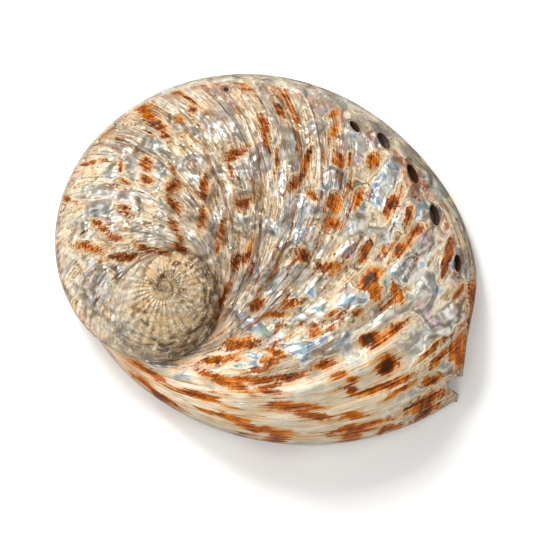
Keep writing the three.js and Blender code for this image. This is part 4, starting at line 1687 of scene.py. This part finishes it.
@dataclass(frozen=True)
class SideFinish:
    """The worn side below the shoulder: layers that run along the rim, with rusty flecks."""

    stops: Stops = (
        (0.36, Tint.WARM),
        (0.44, Tint.SIDE),
        (0.54, Tint.SIDE_PALE),
        (0.6, Tint.SIDE),
        (0.68, Tint.WHITE),
    )
    pearl: float = 0.8
    pearl_line: Line = (0.52, 0.08)
    fleck: float = 0.75
    fleck_ends: Ends = (0.6, 0.66)

    def colour(self, seen: BackPatterns, pearl: Socket) -> Socket:
        """The side's colour, with some of the back's pearl."""
        return seen.sheet.layer(
            seen.sheet.ramp(seen.layers, self.stops),
            (seen.layers.line(*self.pearl_line) * self.pearl, pearl),
            (seen.flecks.smooth(*self.fleck_ends) * self.fleck, Tint.RUST),
        )


@dataclass(frozen=True)
class FineRelief:
    """Relief that is finer than the mesh, for the bump of the back."""

    strata: float = 0.6
    lines: float = 0.4
    cords: float = 0.4
    grain: float = 0.4
    lumps: float = 8.0
    lumps_older: float = 7.0
    folds: float = 4.0
    suture_least: float = 0.15
    suture_ends: Ends = (0.05, 0.6)
    pearl_smooth: float = 0.6
    lip_smooth: float = 0.6
    lip_flat: float = 0.75
    ground: float = 0.3
    crease: float = 0.5
    spire_beads: float = 1.6
    spire_grain: float = 0.8
    spire_ribs: float = 0.4
    spire_curl: float = 0.6

    def back(self, seen: BackPatterns, pearly: Value) -> Value:
        """Lines and grain of the layers, and the broad lumps and folds below them."""
        outer = seen.across.smooth(*self.suture_ends).raised(self.suture_least)
        rough = seen.strata * self.strata + seen.fine_lines * self.lines + seen.cords * self.cords
        rough = rough * outer + seen.grain * self.grain
        broad = seen.lumps * (self.lumps + seen.older * self.lumps_older)
        broad = broad + seen.folds * outer * self.folds
        rough = rough * pearly.spare(self.pearl_smooth) * seen.lip.spare(self.lip_smooth)
        return rough + broad * seen.lip.spare(self.lip_flat) * seen.body

    def spire(self, seen: BackPatterns, rib: Value, curl: Value) -> Value:
        """Beads, grain, ribs and the curl of the spire."""
        beaded = seen.beads * self.spire_beads + seen.grain * self.spire_grain
        return (beaded + rib * self.spire_ribs + curl * self.spire_curl) * seen.spire


@dataclass(frozen=True)
class PolishedBack:
    """The polished outside: layers ground through to pearl, marks, spire, side and pores."""

    crease: float = 0.9
    wall: float = 0.95
    shoulder: float = 0.8
    shoulder_ends: Ends = (0.4, 0.6)
    bore_edge: float = 0.8
    bore_edge_line: Line = (0.3, 0.22)
    bore_shade_ends: Ends = (0.62, 0.9)
    roughness: float = 0.2
    roughness_pearl: float = 0.05
    roughness_bore: float = 0.4
    metallic: float = 0.65
    specular: float = 0.28
    coat: float = 0.12
    coat_roughness: float = 0.05
    coat_ior: float = 1.55
    bump: float = 0.0006

    def build(self) -> bpy.types.Material:
        """Make the material from the growth lines, the polishing's cut and the marks."""
        sheet = NodeSheet("polished_shell_back")
        seen = BackPatterns(sheet)
        grinding, spire, relief = Grinding(), SpireFinish(), FineRelief()
        depth = grinding.depth(seen)
        ground = grinding.pearl_share(seen, depth)
        pearl = PearlLayer().colour(seen)
        crease = Creases().lines(seen)
        colour = sheet.layer(
            CreamLayers().colour(seen, depth),
            (ground, pearl),
            # Olive painted shade along the edges of the ground places.
            (grinding.layer_edges_and_shade(seen, depth), Tint.OLIVE),
            (crease * self.crease, Tint.BROWN),
            (seen.wall * self.wall, SideFinish().colour(seen, pearl)),
        )
        colour, stain = RustMarks().stained(seen, colour)
        rib, curl = spire.rib(seen), spire.curl(seen)
        shoulder = seen.shoulder * seen.lines.smooth(*self.shoulder_ends)
        bore_edge = seen.bore.line(*self.bore_edge_line) * (1 - seen.wall)
        # Painted shade down the pores' bores, over their brown wall, and in the middle of the healed
        # pore stained to 1.
        bore_shade = seen.bore.smooth(*self.bore_shade_ends) * (1 - seen.wall)
        colour = sheet.layer(
            colour,
            (seen.spire, spire.colour(seen, rib, curl)),
            (shoulder * self.shoulder, Tint.RUST),
            (bore_edge * self.bore_edge, Tint.LINE),
            (bore_shade, Tint.BORE_SHADE),
        )
        pearly = ground * (1 - stain) * (1 - seen.bore) * seen.body
        inputs = {
            "Base Color": colour,
            "Roughness": self.roughness - pearly * self.roughness_pearl + bore_shade * self.roughness_bore,
            "Metallic": pearly * self.metallic,
            "Coat Weight": (1 - bore_shade) * self.coat,
            "Coat Roughness": self.coat_roughness,
            "Coat IOR": self.coat_ior,
            "Specular IOR Level": self.specular,
        }
        height = relief.back(seen, pearly) - ground * relief.ground - crease * relief.crease
        return sheet.finish(inputs, height + relief.spire(seen, rib, curl), self.bump)


@dataclass(frozen=True)
class PearlHollow:
    """The inside: smooth mother-of-pearl with slow bands of pale green, pink and blue.

    Scales are for each metre, and the rim's ends are heights in metres.
    """

    stops: Stops = (
        (0.3, "#A9BACB"),
        (0.42, "#C9C8C0"),
        (0.5, "#AFC7B6"),
        (0.58, "#C9C8C0"),
        (0.7, "#D8B7B4"),
    )
    band_scale: float = 28.0
    band_bend: float = 2.2
    ripple_scale: float = 140.0
    ripple_bend: float = 0.8
    ripple: float = 0.25
    detail: float = 3.0
    rim: str = "#CDBFA2"
    rim_share: float = 0.8
    rim_ends: Ends = (0.0012, 0.004)
    roughness: float = 0.3
    roughness_ripple: float = 0.1
    metallic: float = 0.3
    coat: float = 0.8
    coat_roughness: float = 0.08
    bump: float = 0.0004

    def build(self) -> bpy.types.Material:
        """Make the material from slow noise over the surface's own place."""
        sheet = NodeSheet("pearl_hollow")
        place = sheet.place()
        bands = sheet.noise(place, self.band_scale, self.detail, self.band_bend)
        ripples = sheet.noise(place, self.ripple_scale, self.detail, self.ripple_bend)
        height_above_floor = sheet.parts(place)[2]
        near_rim = 1 - height_above_floor.smooth(*self.rim_ends)
        colour = sheet.ramp(bands + ripples.swing(self.ripple), self.stops)
        inputs = {
            "Base Color": sheet.mix(near_rim * self.rim_share, colour, self.rim),
            "Roughness": self.roughness - ripples * self.roughness_ripple,
            "Metallic": self.metallic,
            "Coat Weight": self.coat,
            "Coat Roughness": self.coat_roughness,
        }
        return sheet.finish(inputs, ripples, self.bump)


class LightName(Enum):
    """The studio's lights."""

    KEY = "key"
    WINDOW = "window"
    LEFT = "left"
    OVERHEAD = "overhead"
    FILL = "fill"
    BACK = "back"
    FRONT = "front"
    GLINT = "glint"


@dataclass(frozen=True)
class Lamp:
    """A square softbox: where it hangs, its width and its power in watts."""

    name: LightName
    place: tuple[float, float, float]
    width: float
    power: float


LAMPS = (
    Lamp(LightName.KEY, (-0.4, 0.75, 0.8), 0.25, 8.8),
    Lamp(LightName.WINDOW, (-0.9, 1.0, 0.9), 1.2, 8.0),
    Lamp(LightName.LEFT, (-1.0, -0.2, 0.4), 0.9, 4.4),
    Lamp(LightName.OVERHEAD, (0.0, 0.1, 1.6), 1.1, 3.1),
    Lamp(LightName.FILL, (0.95, 0.1, 0.32), 0.9, 2.4),
    Lamp(LightName.BACK, (0.2, 1.0, 0.35), 0.6, 2.0),
    Lamp(LightName.FRONT, (-0.1, -0.95, 0.55), 0.9, 3.1),
)


@dataclass(frozen=True)
class Studio:
    """A pale floor, soft light and a camera that looks straight down on the shell's back."""

    distance: float = 1.25
    image_width: int = 533
    pixels_per_mm: float = 3.0
    middle_pixel: tuple[float, float] = (266.5, 259.5)
    sensor: float = 36.0
    floor_half: float = 4.0
    floor_drop: float = 0.0003
    floor_colour: str = "#F4F3F1"
    floor_roughness: float = 0.7
    world_strength: float = 0.16
    glints: int = 7
    glint_start: float = 0.3
    glint_radius: float = 0.42
    glint_height: float = 1.1
    glint_width: float = 0.13
    glint_power: float = 0.4

    def build(self) -> None:
        """Make the floor, the world, the lights and the camera."""
        self.add_floor()
        self.add_world()
        for lamp in LAMPS + self.glint_lamps():
            self.add_lamp(lamp)
        self.add_camera()
        bpy.context.scene.view_settings.view_transform = "Standard"

    def glint_lamps(self) -> tuple[Lamp, ...]:
        """Small softboxes on a circle above, which show as glints on every bump."""
        far, height = self.glint_radius, self.glint_height
        angles = [TURN * (k + self.glint_start) / self.glints for k in range(self.glints)]
        places = [(far * math.cos(a), far * math.sin(a), height) for a in angles]
        return tuple(Lamp(LightName.GLINT, p, self.glint_width, self.glint_power) for p in places)

    def add_floor(self) -> None:
        """Add a wide flat sheet just below the rim."""
        mesh = bpy.data.meshes.new("floor")
        h, z = self.floor_half, -self.floor_drop
        mesh.from_pydata([(-h, -h, z), (h, -h, z), (h, h, z), (-h, h, z)], [], [(0, 1, 2, 3)])
        sheet = NodeSheet("pale_floor")
        inputs = {"Base Color": linear(self.floor_colour), "Roughness": self.floor_roughness}
        mesh.materials.append(sheet.finish(inputs))
        floor = bpy.data.objects.new("floor", mesh)
        floor.visible_glossy = False
        bpy.context.scene.collection.objects.link(floor)

    def add_world(self) -> None:
        """Fill the surroundings with even white light."""
        world = bpy.data.worlds.new("studio")
        world.use_nodes = True
        background = world.node_tree.nodes["Background"]
        background.inputs[0].default_value = (1.0, 1.0, 1.0, 1.0)
        background.inputs[1].default_value = self.world_strength
        bpy.context.scene.world = world

    @staticmethod
    def add_lamp(lamp: Lamp) -> None:
        """Hang a softbox that faces the shell."""
        light = bpy.data.lights.new(lamp.name.value, "AREA")
        light.size = lamp.width
        light.energy = lamp.power
        holder = bpy.data.objects.new(lamp.name.value, light)
        holder.location = lamp.place
        holder.rotation_euler = (-Vector(lamp.place)).to_track_quat("-Z", "Y").to_euler()
        bpy.context.scene.collection.objects.link(holder)

    def add_camera(self) -> None:
        """Look straight down, up towards +Y, at the photograph's scale."""
        camera = bpy.data.cameras.new("camera")
        field_of_view = self.image_width / self.pixels_per_mm * MM
        camera.sensor_width = self.sensor
        camera.lens = self.sensor * self.distance / field_of_view
        camera.dof.use_dof = False
        holder = bpy.data.objects.new("camera", camera)
        shift_x, shift_y = (self.image_width / 2 - p for p in self.middle_pixel)
        holder.location = (
            shift_x / self.pixels_per_mm * MM,
            -shift_y / self.pixels_per_mm * MM,
            self.distance,
        )
        bpy.context.scene.collection.objects.link(holder)
        bpy.context.scene.camera = holder


def main() -> None:
    """Build the shell and its studio."""
    logging.basicConfig(level=logging.INFO, format="%(message)s")
    piece = Shell().build([PolishedBack().build(), PearlHollow().build()])
    LOG.info("%s: %d points, %d faces", piece.name, len(piece.data.vertices), len(piece.data.polygons))
    Studio().build()


if __name__ == "__main__":
    main()
